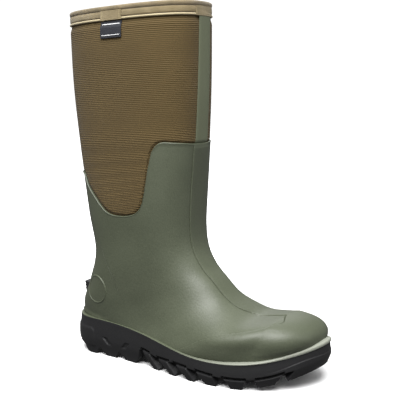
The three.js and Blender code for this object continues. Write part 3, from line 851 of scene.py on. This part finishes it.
def shell_rows(low):
    """Rows below the fixed height low, closer together at the rear line of the toe cap."""
    lower = np.linspace(low, 11.9, 112)[1:]
    close = [-0.07, -0.05, -0.038, -0.028, -0.02, -0.013, -0.006, 0, 0.003, 0.006, 0.01, 0.015, 0.022]
    near = 12 + np.array(close)
    cap = 12 + np.linspace(0, 1, 62)[3:] ** 1.15
    return np.concatenate([lower, near, cap])


def shell_row(grid, station, depth):
    """Points at a depth along a row of the grid, which may have its own station in each column."""
    return skin(station, column_angle(station, grid), depth)


def rubber_shell(material):
    """The moulded rubber foot: rows run from the rolled top edge down to the tip, and back up inside."""
    grid = shell_columns(226)
    top = edge_station(grid, column_angle)
    low = 4.2  # below here every column has the same rows
    roll = 0.012  # a station step of about 0.8 mm, for the roll of the edge
    rolled = ((0, RUBBER * 0.5), (0.25, 0.1), (0.6, -0.25))
    rings = [shell_row(grid, top + roll * share, depth) for share, depth in rolled]
    stations = [mix(top + roll, low, t) for t in np.linspace(0, 1, 76) ** 1.05]
    stations += [row_station(row, column_angle(min(row, TOE_BREAK), grid)) for row in shell_rows(low)]
    for station in stations:
        angle = column_angle(station, grid)
        lip = 0.4 * smooth(station - top, 0.04, 0.028)
        relief = shell_relief(station, angle) * smooth(station - top, 0.03, 0.06)
        rings.append(skin(station, angle, -relief - lip))
    inside = [np.full_like(grid, s) for s in np.linspace(TIP - 0.03, low, 34)]
    inside += [mix(low, top + roll, t) for t in np.linspace(0, 1, 16)[1:]]
    rings += [shell_row(grid, s, mix(RUBBER, FACING[1], smooth(s, 3.7, 4.1))) for s in inside]
    rings.append(shell_row(grid, top + roll * 0.4, RUBBER - 0.1))
    obj = loft("moulded_shell", np.stack(rings), joined=True)
    return keep(obj, material, nodes=["rubber_shell"])


def medallion(material):
    """Plain round disc low on the outer side of the heel, with one raised rim and a level middle.
    Rings of points lie round its middle on the form, each at its own height."""
    station, angle = locate(43.5, 76)  # pattern x and z
    size = 1.15
    here = form(station, angle)
    out = normal(station, angle)
    up = unit(np.array([0, 0, 1]) - out * out[2])
    aside = np.cross(up, out)
    heights = [(0, 0.12), (4, 0.12), (8.0, 0.12), (11.9, 0.12), (12.5, 0.16), (12.9, 0.6), (13.5, 0.68),
               (14.0, 0.45), (14.4, -0.4), (14.4, -1.2), (0, -1.2)]
    turn = np.linspace(0, 2 * np.pi, 96, endpoint=False)
    rings = []
    for r, height in heights:
        flat = here + (np.cos(turn)[:, None] * aside + np.sin(turn)[:, None] * up) * r * size * MM
        rings.append(on_form(flat, station, angle) + out * height * MM)
    obj = loft("heel_medallion", np.array(rings))
    return keep(obj, material)


def locate(x, z):
    """Station and angle of the outer side's point with that pattern x and z, by Newton steps."""
    s, a = 5.0, 240.0
    for _ in range(30):
        p = form_mm(s, a)
        ds = (form_mm(s + 1e-3, a) - p) / 1e-3
        da = (form_mm(s, a + 1e-2) - p) / 1e-2
        step = np.linalg.solve([[ds[0], da[0]], [ds[2], da[2]]], [x - p[0], z - p[2]])
        s, a = s + step[0], a + step[1]
    return s, a


def on_form(points, station, angle):
    """Drops points near a place on the form onto it: Newton steps in station and angle that match the
    two directions along the surface."""
    s, a = np.full(len(points), station), np.full(len(points), angle)
    for _ in range(12):
        p = form(s, a)
        ds = (form(s + 1e-3, a) - p) / 1e-3
        da = (form(s, a + 1e-2) - p) / 1e-2
        gap = points - p
        ss, sa, aa = (ds * ds).sum(-1), (ds * da).sum(-1), (da * da).sum(-1)
        gs, ga = (gap * ds).sum(-1), (gap * da).sum(-1)
        whole = ss * aa - sa * sa
        s = s + (gs * aa - ga * sa) / whole
        a = a + (ga * ss - gs * sa) / whole
    return form(s, a)


def facing_depth(station, edge):
    """Depth of the facing's outer face: it swells out nearly level with the shell above the shell's
    edge and below the collar, and goes down under both."""
    above = smooth(station, edge - 0.006, edge - 0.03)
    below_collar = smooth(station, dropped(PIPING + 1), dropped(PIPING + 7.5))
    return mix(FACING[0], FACING_SWELL, above * below_collar)


def facing_sleeve(material):
    """Knitted facing of the shaft: ribs run round it, each a raised half wave, down to below the
    shell's edge, and a plain back."""
    fine = np.linspace(0, 360, 3601)
    steep = np.abs(np.gradient(edge_station(fine), fine))
    angles = spread(fine, 1 + 70 * steep, 170, ends=False)  # closest where the shell's edge is steep
    bottom = 3.45  # the station of its lower end, well inside the shell
    rows = int(bottom * FIRST_BAY / (RIB_PITCH / 4))
    stations = np.linspace(float(dropped(WALL_START)), bottom, rows)
    height = RIB_HEIGHT * np.abs(np.sin(np.pi * stations * FIRST_BAY / RIB_PITCH))
    edge = np.min([edge_station(angles + turn) for turn in (-1.5, 0.0, 1.5)], 0)
    profile = [(s, facing_depth(s, edge) - h) for s, h in zip(stations, height)]
    profile += [(s, FACING[1]) for s in np.linspace(bottom, float(dropped(WALL_START)), 24)]
    obj = hoop("facing_sleeve_knit", angles, profile, cloth=True, crease=80)
    keep(obj, material, nodes=["facing_sleeve"])
    # points of the tapered tube's outer face, from its top row down to its lower end
    face = skin(np.linspace(stations[0], bottom, 60)[:, None], np.linspace(0, 360, 361)[None], FACING[0])
    return obj


def front_strip(material):
    """Rubber tape over the front seam of the facing: one ring across it at each station, with its edges
    drawn down. It dips with the facing where that goes in under the shell."""
    stations = np.linspace(float(dropped(PIPING + 0.2)), 2.02, 90)
    outer_side = mix(-5.9, -7.2, stations / 2)
    angles = mix(outer_side[:, None], 9.5, np.linspace(0, 1, 31)[None])
    middle = 0.4 + 2.4 * smooth(stations, 1.92, 1.99)[:, None]
    swell = 0.5 - 0.35 * np.abs(np.linspace(-1, 1, angles.shape[1])) ** 8
    depth = np.concatenate([middle - swell, (middle + swell)[:, ::-1]], 1)
    rings = skin(stations[:, None], np.concatenate([angles, angles[:, ::-1]], 1), depth)
    return keep(loft("front_seam_tape", rings), material, nodes=["front_seam_strip"])


# ---- Collar ---------------------------------------------------------------------------------
def collar(binding_material, tape_material, piping_material, stitch_material):
    """Rim of the shaft: a padded binding turned over the edge, a second tape, a twisted piping cord, and
    a row of stitches below each of the two webbings."""
    angles = columns(420)
    binding = loop_through([
        [4.9, 1.9], [4.7, 1.25], [3.6, 0.75], [2.2, 0.6], [0.9, 0.95], [0.1, 2.2], [-0.1, 4.0], [0.0, 7.0],
        [0.3, 9.3], [1.4, 10.4], [4.0, 10.7], [9.0, 10.7], [13.2, 10.6], [14, 10.2], [13.4, 9.7],
        [8, 9.65], [2.4, 9.5], [1.35, 8.6], [1.25, 5], [1.35, 2.7], [2.2, 2.25], [4.2, 2.3],
    ], 88)
    obj = hoop("collar_binding_roll", angles, [(dropped(d), w) for d, w in binding], cloth=True)
    keep(obj, binding_material, nodes=["collar_binding"])
    tape = loop_through([
        [5.3, 1.9], [5.7, 1.2], [7.2, 0.8], [9.0, 0.72], [10.8, 0.85], [11.8, 1.25], [12.2, 1.9],
        [11.7, 2.2], [8.8, 2.25], [5.8, 2.2],
    ], 44)
    obj = hoop("collar_tape_band", angles, [(dropped(d), w) for d, w in tape], cloth=True)
    keep(obj, tape_material, nodes=["collar_tape"])
    piping(piping_material)
    for name, drop in (("upper_stitches", BINDING + 0.15), ("lower_stitches", TAPE + 0.1)):
        stitch_row(name, drop, 1.25, stitch_material)


def piping(material):
    """Cord sewn under the tape: a round rope whose face rises and falls in strands that twist along
    it, radius = r (0.86 + 0.14 |cos(turn - twist)|)."""
    angles = columns(900)
    around = np.linspace(0, 2 * np.pi, 18, endpoint=False)
    middle = (TAPE + PIPING) / 2 + 0.15
    radius = 1.2
    line = form(dropped(middle), angles)
    run = np.concatenate([[0], np.cumsum(np.linalg.norm(np.diff(line, axis=0), axis=1))]) / MM
    whole = run[-1] + np.linalg.norm(line[0] - line[-1]) / MM
    twist = np.pi * run / (whole / round(whole / 1.9))
    r = radius * (0.84 + 0.16 * np.abs(np.cos(around[None] - twist[:, None])))
    drop = middle + r * np.cos(around)
    depth = 1.25 + r * np.sin(around)
    rings = skin(dropped(drop), angles[:, None], depth)
    obj = loft("collar_piping_cord", rings, joined=True, crease=80)
    keep(obj, material, nodes=["collar_piping"])


def capsule():
    """Points and faces of one stitch along x: a six-sided thread that rises and dips back."""
    segments = 6
    around = np.linspace(0, 2 * np.pi, segments, endpoint=False)
    along = np.array([-1.0, -0.72, 0.0, 0.72, 1.0])
    radius = np.sqrt(np.maximum(0, 1 - along**4)) * 0.9 + 0.1
    x = np.repeat(along[:, None], segments, 1)
    y = radius[:, None] * np.cos(around)[None]
    z = radius[:, None] * np.sin(around)[None]
    points = np.stack([x, y, z], -1).reshape(-1, 3)
    faces = ring_faces(len(along), segments)
    caps = []
    for ring in (0, len(along) - 1):
        k = ring * segments + np.arange(segments)
        caps += [[k[0], k[1], k[2], k[3]], [k[0], k[3], k[4], k[5]]]
    caps = np.array(caps)
    caps[:2] = caps[:2, ::-1]
    return points, np.vstack([faces, caps])


def stitches(name, centres, ways, outs, length, thickness, material):
    """Many stitches in one mesh: a capsule at each centre, along its way and facing out."""
    points, faces = capsule()
    ways, outs = unit(ways), unit(outs)
    sides = np.cross(outs, ways)
    size = np.array([length / 2, thickness / 2, thickness / 2]) * MM
    local = points * size
    placed = (centres[:, None] + local[None, :, :1] * ways[:, None] + local[None, :, 1:2] * sides[:, None]
              + local[None, :, 2:] * outs[:, None])
    every = (faces[None] + np.arange(len(centres))[:, None, None] * len(points)).reshape(-1, 4)
    obj = make_mesh(name, placed.reshape(-1, 3), every, crease=80)
    return keep(obj, material)


def stitch_row(name, drop, depth, material, pitch=2.6):
    """Stitches round the collar at one drop."""
    fine = np.linspace(0, 360, 2881)
    line = skin(dropped(np.full_like(fine, drop)), fine, depth)
    run = np.concatenate([[0], np.cumsum(np.linalg.norm(np.diff(line, axis=0), axis=1))]) / MM
    count = round(run[-1] / pitch)
    angles = np.interp((np.arange(count) + 0.5) * run[-1] / count, run, fine)
    at = dropped(np.full_like(angles, drop))
    centres = skin(at, angles, np.full_like(angles, depth))
    ways = form(at, angles + 0.2) - form(at, angles - 0.2)
    return stitches(name, centres, ways, normal(at, angles), pitch * 0.72, 0.55, material)


LABEL_ANGLES = (264, 274)
LABEL_DROP = 17


def patches(material, stitch_material):
    """Cloth patches over the joins of the collar's tapes, on the outer side and at the front, and the
    stitches down the side patch's edge."""
    sides = {"side": np.array(LABEL_ANGLES, float), "front": np.array([-11.5, 11.5])}
    for name, (low, high) in sides.items():
        stations = dropped(np.linspace(BINDING + 0.1, PIPING - 0.15, 26))
        angles = np.linspace(low, high, 33)
        obj = tongue(f"{name}_patch_cloth", stations, angles, -0.35, 0.75, cloth=True)
        keep(obj, material, nodes=[f"{name}_patch"])
    drops = np.arange(BINDING + 0.8, PIPING - 0.4, 1.25)
    for name, angle in (("patch_stitches_front", 272.9), ("patch_stitches_back", 265.2)):
        at = dropped(drops)
        turned = np.full_like(drops, angle)
        centres = skin(at, turned, np.full_like(drops, -0.38))
        ways = form(at + 1e-3, turned) - form(at, turned)
        stitches(name, centres, ways, normal(at, turned), 0.8, 0.42, stitch_material)


def label(cloth_material, border_material):
    """Blank woven label hanging from the piping, with a thin border line above and below. It is a thin
    sheet that bows a little away from the shaft."""
    top = PIPING + 0.9
    share = np.linspace(0, 1, 30)
    stations = dropped(top + LABEL_DROP * share)
    angles = np.linspace(*LABEL_ANGLES, 41)
    middle = sum(LABEL_ANGLES) / 2
    hang = 1.35 - 1.5 * smooth(share, 0.1, 0.4) - 0.25 * np.sin(share * np.pi * 0.8)
    depth = hang[:, None] - 0.15 * np.cos(np.radians(angles - middle) * 18)[None]
    half = 0.35
    across = np.concatenate([angles, angles[::-1]])
    both = np.concatenate([depth - half, (depth + half)[:, ::-1]], 1)
    rings = skin(stations[:, None], across[None], both)
    obj = loft("woven_label_sheet", rings, cloth=True)
    keep(obj, cloth_material, body="label", nodes=["woven_label"])
    width = np.linalg.norm(rings[0, 0] - rings[0, len(angles) - 1])
    a = mix(LABEL_ANGLES[0], LABEL_ANGLES[1], np.linspace(0.1, 0.9, 13))
    for name, down in (("label_border_upper", (0.16, 0.2)), ("label_border_lower", (0.82, 0.86))):
        t = np.linspace(*down, 7)
        lift = np.interp(t, share, depth[:, 20]) - half
        d = np.stack([np.concatenate([np.full(13, v - 0.14), np.full(13, v + 0.1)]) for v in lift])
        rings = skin(dropped(top + LABEL_DROP * t)[:, None], np.concatenate([a, a[::-1]])[None], d)
        keep(loft(name, rings, cloth=True), border_material, body="label")


# ---- Inside ---------------------------------------------------------------------------------
def inner_stations(count):
    shaft = np.linspace(float(dropped(WALL_START)), TOE_BREAK, count)
    cap = TOE_BREAK + np.linspace(0, 1, 14)[1:] * 0.985
    return np.concatenate([shaft, cap])


def inner_layers(foam_material, lining_material):
    """Foam bootie and sock lining, each a wall from the rim to the closed toe."""
    angles = columns(128)
    foam = layer("insulation_wall", angles, inner_stations(90), INSULATION, cloth=True)
    keep(foam, foam_material, nodes=["insulation_bootie"])
    lining = layer("lining_sock_knit", angles, inner_stations(130), LINING, cloth=True)
    keep(lining, lining_material, nodes=["lining_sock"])


def footbed(foam_material, cloth_material):
    """Contoured foam footbed and its cloth cover, lying in the lining; they lift out together."""
    stations = np.linspace(7.0, 12.7, 90)
    angles = np.linspace(146, 214, 49)
    obj = tongue("footbed_pad", stations, angles, *FOOTBED, edge=0.5, cloth=True)
    keep(obj, foam_material, body="footbed", nodes=["footbed_foam"])
    obj = tongue("footbed_cloth", stations, angles, *FOOTBED_COVER, edge=0.5, cloth=True)
    keep(obj, cloth_material, body="footbed", nodes=["footbed_cover"])


# ---- Sole -----------------------------------------------------------------------------------
HEEL_REACH, HEEL_HALF, HEEL_POWER = 38, 44.5, 2.2
BALL_X, BALL_HALF, TOE_POWER = 187, 63, 2.06
TOE_REACH = 300 - BALL_X
TOE_TURNS_FROM, TOE_SHIFT = 230, 8
LOWEST_X = 205
LUG_DEPTH, WEB = 5, 2.5
SPRING_START, SPRING = 222, 20

# Lugs along each side: pattern x where each starts and ends, at its top and at the ground
LUGS = [
    (-9, 45.5, -9, 41), (47.5, 73, 53, 69), (75, 106, 81, 97),  # heel
    (109, 121, 122, 132), (133, 147, 146, 156), (159, 174, 171, 182), (185, 205, 194, 208),
    (216, 240, 222, 236), (247, 273, 250, 267),  # forefoot, leaning back at the top
    (280, 330, 276, 330),  # toe
]
SLOTS = [(107, 121), (131, 150), (154, 174), (184, 205), (214, 240), (248, 274)]  # above the lugs
SLOT_HEIGHT = 3.4
GAP_INSET = 6.5  # how far the gaps between the lugs go in
# Top of the lugs' own band: pattern x and height above the floor
LUG_TOP = np.array([
    [-10, 10], [70, 10], [98, 11], [107, 21], [120, 20], [132, 18], [150, 18], [166, 17.5], [186, 16],
    [206, 14], [226, 13.5], [246, 15], [262, 18.5], [274, 22.5], [290, 27], [310, 31],
], float)


def outline(run, side):
    """Sole outline in the pattern, run 0 at the back of the heel to 3 at the tip of the toe, on one
    side (-1 outer, +1 inner): a superellipse heel, an S through the waist and a superellipse toe."""
    run = np.asarray(run, float)
    heel = np.clip(run, 0, 1) * np.pi / 2
    toe = np.clip(run - 2, 0, 1) * np.pi / 2
    waist = np.clip(run - 1, 0, 1)
    back = HEEL_REACH * (1 - np.cos(heel) ** (2 / HEEL_POWER))
    x = np.where(run < 1, back, mix(HEEL_REACH, BALL_X, waist))
    x = np.where(run > 2, BALL_X + TOE_REACH * np.sin(toe) ** (2 / TOE_POWER), x)
    half = np.where(run < 1, HEEL_HALF * np.sin(heel) ** (2 / HEEL_POWER),
                    mix(HEEL_HALF, BALL_HALF, smooth(waist**1.4, 0, 1)))
    half = np.where(run > 2, BALL_HALF * np.maximum(np.cos(toe), 0) ** (2 / TOE_POWER), half)
    bend = np.maximum(0, x - TOE_TURNS_FROM) / (300 - TOE_TURNS_FROM)
    return np.stack([x, side * half + TOE_SHIFT * bend**2], -1)


def sole_columns(count):
    """Points round the outline, evenly spaced, with the direction inward at each: lateral from heel
    to toe and medial back again."""
    fine = np.linspace(0, 3, 3001)
    loop = np.vstack([outline(fine, -1), outline(fine[::-1], 1)[1:]])
    run = np.concatenate([[0], np.cumsum(np.linalg.norm(np.diff(loop, axis=0), axis=1))])
    even = np.linspace(0, run[-1], count, endpoint=False)
    at = np.stack([np.interp(even, run, loop[:, k]) for k in (0, 1)], -1)
    along = unit(np.roll(at, -1, 0) - np.roll(at, 1, 0))
    return at, np.stack([-along[:, 1], along[:, 0]], -1)


def edge_height(x):
    """Top edge of the outsole's wall: falls from heel to ball and climbs round the toe."""
    fall = np.clip(x / LOWEST_X, 0, 1) ** 1.45
    climb = np.clip((x - LOWEST_X) / (300 - LOWEST_X), 0, 1) ** 1.9
    return np.where(x < LOWEST_X, mix(42, 25, (1 - np.cos(np.pi * fall)) / 2), mix(25, 42.6, climb))


def ground(x):
    """Height of the tread above the floor: flat, then springing up at the toe."""
    return SPRING * (np.maximum(0, x - SPRING_START) / (300 - SPRING_START)) ** 1.7


def between(x, low, high, soft):
    """1 between low and high, falling to 0 over a soft width inside them."""
    return smooth(x, low, low + soft) * smooth(x, high, high - soft)


def lug_mask(x, share):
    """1 on a lug, 0 in a gap, at a share of the way from the lugs' top to the ground."""
    masks = [between(x, mix(a, c, share) - 0.6, mix(b, d, share) + 0.6, 1.6) for a, b, c, d in LUGS]
    return np.max(masks, 0)


def underside(x):
    return LUG_DEPTH + ground(x)


def web_top(x):
    return LUG_DEPTH + WEB + ground(x)


def plain_wall(x, height):
    """Inset of the plain wall at a height: a lip at the top edge and a taper toward the ground."""
    low = ground(x)
    share = (height - low) / (edge_height(x) - low)
    bumper = 0.6 * smooth(x, 250, 288)
    step = bumper * smooth(height - mix(20, 34, smooth(x, 255, 300)), -0.4, 0.5)
    heel = 5.5 * smooth(x, 34, 4) * np.clip(1 - share * 2.6, 0, 1) ** 2
    lip = (wall_lip(x) - bumper) * smooth(share, 0.62, 1)
    return lip + 3.5 * smooth(share, 0.5, -0.06) + step + heel


def wall_marks(x, height):
    """Marks on the plain wall: the pad round the back of the heel and two small notches."""
    pad = smooth(x, 41, 38.5) * smooth(height, 31.5, 30) * smooth(x + height, 69, 66)
    notches = 0
    for start, end, high, lean in ((57, 64, 22.5, -0.9), (78, 85, 21.5, 0.9)):
        across = 1.4 * between(x - lean * (height - 15), start, end, 1.2)
        notches = notches + across * smooth(height, high, high - 1.2) * smooth(height, 13, 16)
    return notches - 0.9 * pad


def sole_row(at, inward, inset, height, to_spine):
    """One ring of the outsole: the outline moved in by an inset, and then a share of the way to the
    middle line. The height is a number, one for each point, or a function of x."""
    x = at[:, 0]
    spine = np.stack([np.clip(x, 46, 254), np.zeros_like(x)], -1)
    p = mix(at + inward * np.broadcast_to(inset, x.shape)[:, None], spine, to_spine)
    z = height(p[:, 0]) if callable(height) else np.broadcast_to(height, x.shape)
    return place(p[:, 0], p[:, 1], z)


def outsole(material):
    """The outsole as one surface: rows of points round the outline, from its inside top over the edge,
    down the wall with its slots and leaning lugs, and in under the tread to the middle line."""
    at, inward = sole_columns(1240)
    x = at[:, 0]
    top, low = edge_height(x), ground(x)
    lug_top = np.interp(x, *curve_through(LUG_TOP, 400).T)
    lug_top = np.minimum(np.maximum(lug_top, low + 7), top - 6)
    # each row's inset, height and share of the way to the middle line
    rows = [(8, web_top, 1.0), (8, web_top, 0.45), (8, web_top, 0), (5.5, top - 3, 0), (5, top, 0)]
    rows += [(plain_wall(x, top) + 0.5, top, 0), (plain_wall(x, top) + 0.12, top - 0.15, 0)]
    for t in np.linspace(0, 1, 30):
        height = mix(top - 0.5, lug_top + 0.3, t)
        rows.append((plain_wall(x, height) + wall_marks(x, height), height, 0))
    slot = np.max([between(x, start, end, 1.2) for start, end in SLOTS], 0) * smooth(x, 100, 104)
    for t, depth in zip(np.linspace(0, 1, 9), (0.1, 0.8, 1, 1, 1, 1, 1, 0.8, 0.1)):
        height = lug_top + 0.2 - (SLOT_HEIGHT + 0.2) * t
        gap = (1 - lug_mask(x, 0.0)) * smooth(t, 0.6, 0.9) * GAP_INSET
        rows.append((plain_wall(x, height) + np.maximum(3.6 * depth * slot, gap), height, 0))
    for t in np.linspace(0, 1, 16)[1:]:
        gap = 1 - lug_mask(x, t)
        height = mix(lug_top - SLOT_HEIGHT, low + 1.0 + (LUG_DEPTH - 0.5) * gap, t)
        rows.append((plain_wall(x, height) + GAP_INSET * gap, height, 0))
    gap = 1 - lug_mask(x, 1.0)
    tread = low + (LUG_DEPTH + 0.2) * gap
    under = plain_wall(x, low) + GAP_INSET * gap
    rows.append((under + 0.5, tread + 0.25 * (1 - gap), 0))
    rows += [(mix(under + 1.2, 21, t), tread, 0) for t in np.linspace(0, 1, 6)]
    rows.append((21.6, underside, 0))
    rows += [(22, underside, share) for share in (0.02, 0.5, 1.0)]
    points = np.array([sole_row(at, inward, *row) for row in rows])
    obj = make_mesh("outsole_cupped", points.reshape(-1, 3), ring_faces(*points.shape[:2]), crease=32)
    return keep(obj, material, nodes=["outsole"])


TREAD_BLOCKS = [(30, 66, 15), (84, 92, 10), (96, 112, 12), (130, 146, 14), (156, 172, 22), (182, 198, 24),
                (206, 220, 22), (232, 246, 18)]


def tread_blocks(material):
    """Blocks down the middle of the tread: chevrons with drafted sides, each ring of its outline a
    height, from inside the web to the ground."""
    points, faces = [], []
    for number, (start, end, half) in enumerate(TREAD_BLOCKS):
        lean = 4 if number else 0
        corners = np.array([
            [start, -half], [end, -half], [end + lean, 0], [end, half], [start, half], [start + lean, 0],
        ], float)
        centre = corners.mean(0)
        rings = []
        for height, grow in ((LUG_DEPTH + 1.5, 0.8), (1.0, 0.15), (0.3, -0.1), (0.0, -0.7)):
            p = centre + (corners - centre) * (1 + grow * 2 / (end - start))
            share = np.linspace(0, 1, 8, endpoint=False)[:, None]
            dense = np.vstack([mix(p[i], p[(i + 1) % 6], share) for i in range(6)])
            rings.append(place(dense[:, 0], dense[:, 1], ground(dense[:, 0]) + height))
        block = capped(np.array(rings))
        faces.append(ring_faces(*block.shape[:2]) + sum(len(p) for p in points))
        points.append(block.reshape(-1, 3))
    obj = make_mesh("tread_blocks", np.vstack(points), np.vstack(faces), crease=30)
    return keep(obj, material)


def sole_bead(material):
    """Bead along the top edge of the outsole, pale toward the toe with painted highlight: a rounded profile
    that is a thin line along the waist and the ball, a little fuller at the heel and deepest round the toe."""
    at, inward = sole_columns(900)
    x = at[:, 0]
    base = edge_height(x) + 0.02
    tall = 0.35 + 1.15 * smooth(x, 170, 235) + 2.0 * smooth(x, 240, 290)
    lip = wall_lip(x) + 0.15 - 0.9 * smooth(x, 200, 250)
    profile = [(0.35, 0.0), (0.05, 0.12), (-0.05, 0.4), (0.1, 0.72), (0.5, 0.93), (1.3, 1.0), (4.0, 1.04),
               (9.0, 1.05), (9.0, 0.0)]
    rings = [place(*(at + inward * (lip + inset)[:, None]).T, base + tall * rise) for inset, rise in profile]
    obj = loft("sole_bead_line", np.stack(rings, 1), joined=True, crease=60)
    return keep(obj, material, nodes=["sole_bead"])


def wall_lip(x):
    """How far the top of the sole's wall lies inside its outline, in millimetres."""
    return mix(0.5, 1.6, smooth(x, 60, 10)) + 0.6 * smooth(x, 250, 288)


def kick_tab(material):
    """Ledge across the back of the heel for pushing the boot off: a wedge with two grip ridges, widest
    at its top, carried round the heel and drawn in at both ends."""
    angles = np.linspace(157, 203, 61)
    ends = smooth(np.abs(angles - 180), 23, 19)
    profile = loop_through([
        [5.10, -1.5], [5.13, 3.0], [5.15, 6.4], [5.18, 7.0], [5.22, 6.5], [5.26, 5.2], [5.29, 5.5],
        [5.32, 5.0], [5.36, 3.6], [5.40, 3.8], [5.43, 3.2], [5.50, 1.4], [5.56, -0.4], [5.55, -1.5],
    ], 56)
    station = profile[:, 0][None].repeat(len(angles), 0)
    out = np.where(profile[:, 1] > 0, profile[:, 1] * ends[:, None], profile[:, 1])
    rings = skin(station, angles[:, None], -out)
    return keep(loft("kick_tab_ledge", rings, crease=50), material, nodes=["kick_tab"])


# ---- Assembly -------------------------------------------------------------------------------
camera()
studio()
floor(floor_paper())

green = moulded_rubber("olive_rubber", linear(60, 65, 50), linear(78, 83, 66), 0.5)
green_tape = moulded_rubber("olive_tape", linear(84, 89, 68), linear(100, 105, 84), 0.55, 0.00003)
green_bead = bead_rubber()
black = sole_rubber()
knit = ribbed_knit()
binding_web = webbing("binding_webbing", linear(124, 112, 86), linear(140, 126, 98), 0.014, (0.35, 0.65))
tape_web = webbing("tape_webbing", linear(134, 120, 88), linear(150, 136, 104), 0.013, (0.35, 0.65))
patch_web = webbing("patch_webbing", linear(140, 126, 94), linear(154, 140, 108), 0.016, (0.35, 0.65))
cord = thread("piping_yarn", linear(178, 164, 128))
dark_thread = thread("dark_thread", linear(74, 60, 40))
pale_thread = thread("pale_thread", linear(188, 172, 128))
label_black = woven_label("label_ground", linear(11, 13, 19), linear(26, 29, 39))
label_pale = woven_label("label_border", linear(196, 198, 200), linear(236, 236, 236))
neoprene = cellular("neoprene_foam", linear(34, 34, 36), linear(56, 56, 58), 0.0012)
eva = cellular("eva_foam", linear(96, 100, 92), linear(122, 126, 116), 0.0016)
lining = soft_knit("lining_jersey", linear(38, 36, 33), linear(74, 70, 64), 1.4)
cover = soft_knit("footbed_jersey", linear(46, 48, 44), linear(84, 86, 80), 1.1)

rubber_shell(green)
medallion(green)
facing_sleeve(knit)
front_strip(green_tape)
collar(binding_web, tape_web, cord, dark_thread)
patches(patch_web, pale_thread)
label(label_black, label_pale)
inner_layers(neoprene, lining)
footbed(eva, cover)
outsole(black)
tread_blocks(black)
sole_bead(green_bead)
kick_tab(black)

board = fibre_board()
for node, material in {
    "midsole": eva,
    "shank": shank_composite(),
    "heel_counter": board,
    "toe_puff": board,
    "insole_board": board,
}.items():
    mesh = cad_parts[node].data
    mesh.materials.clear()
    mesh.materials.append(material)
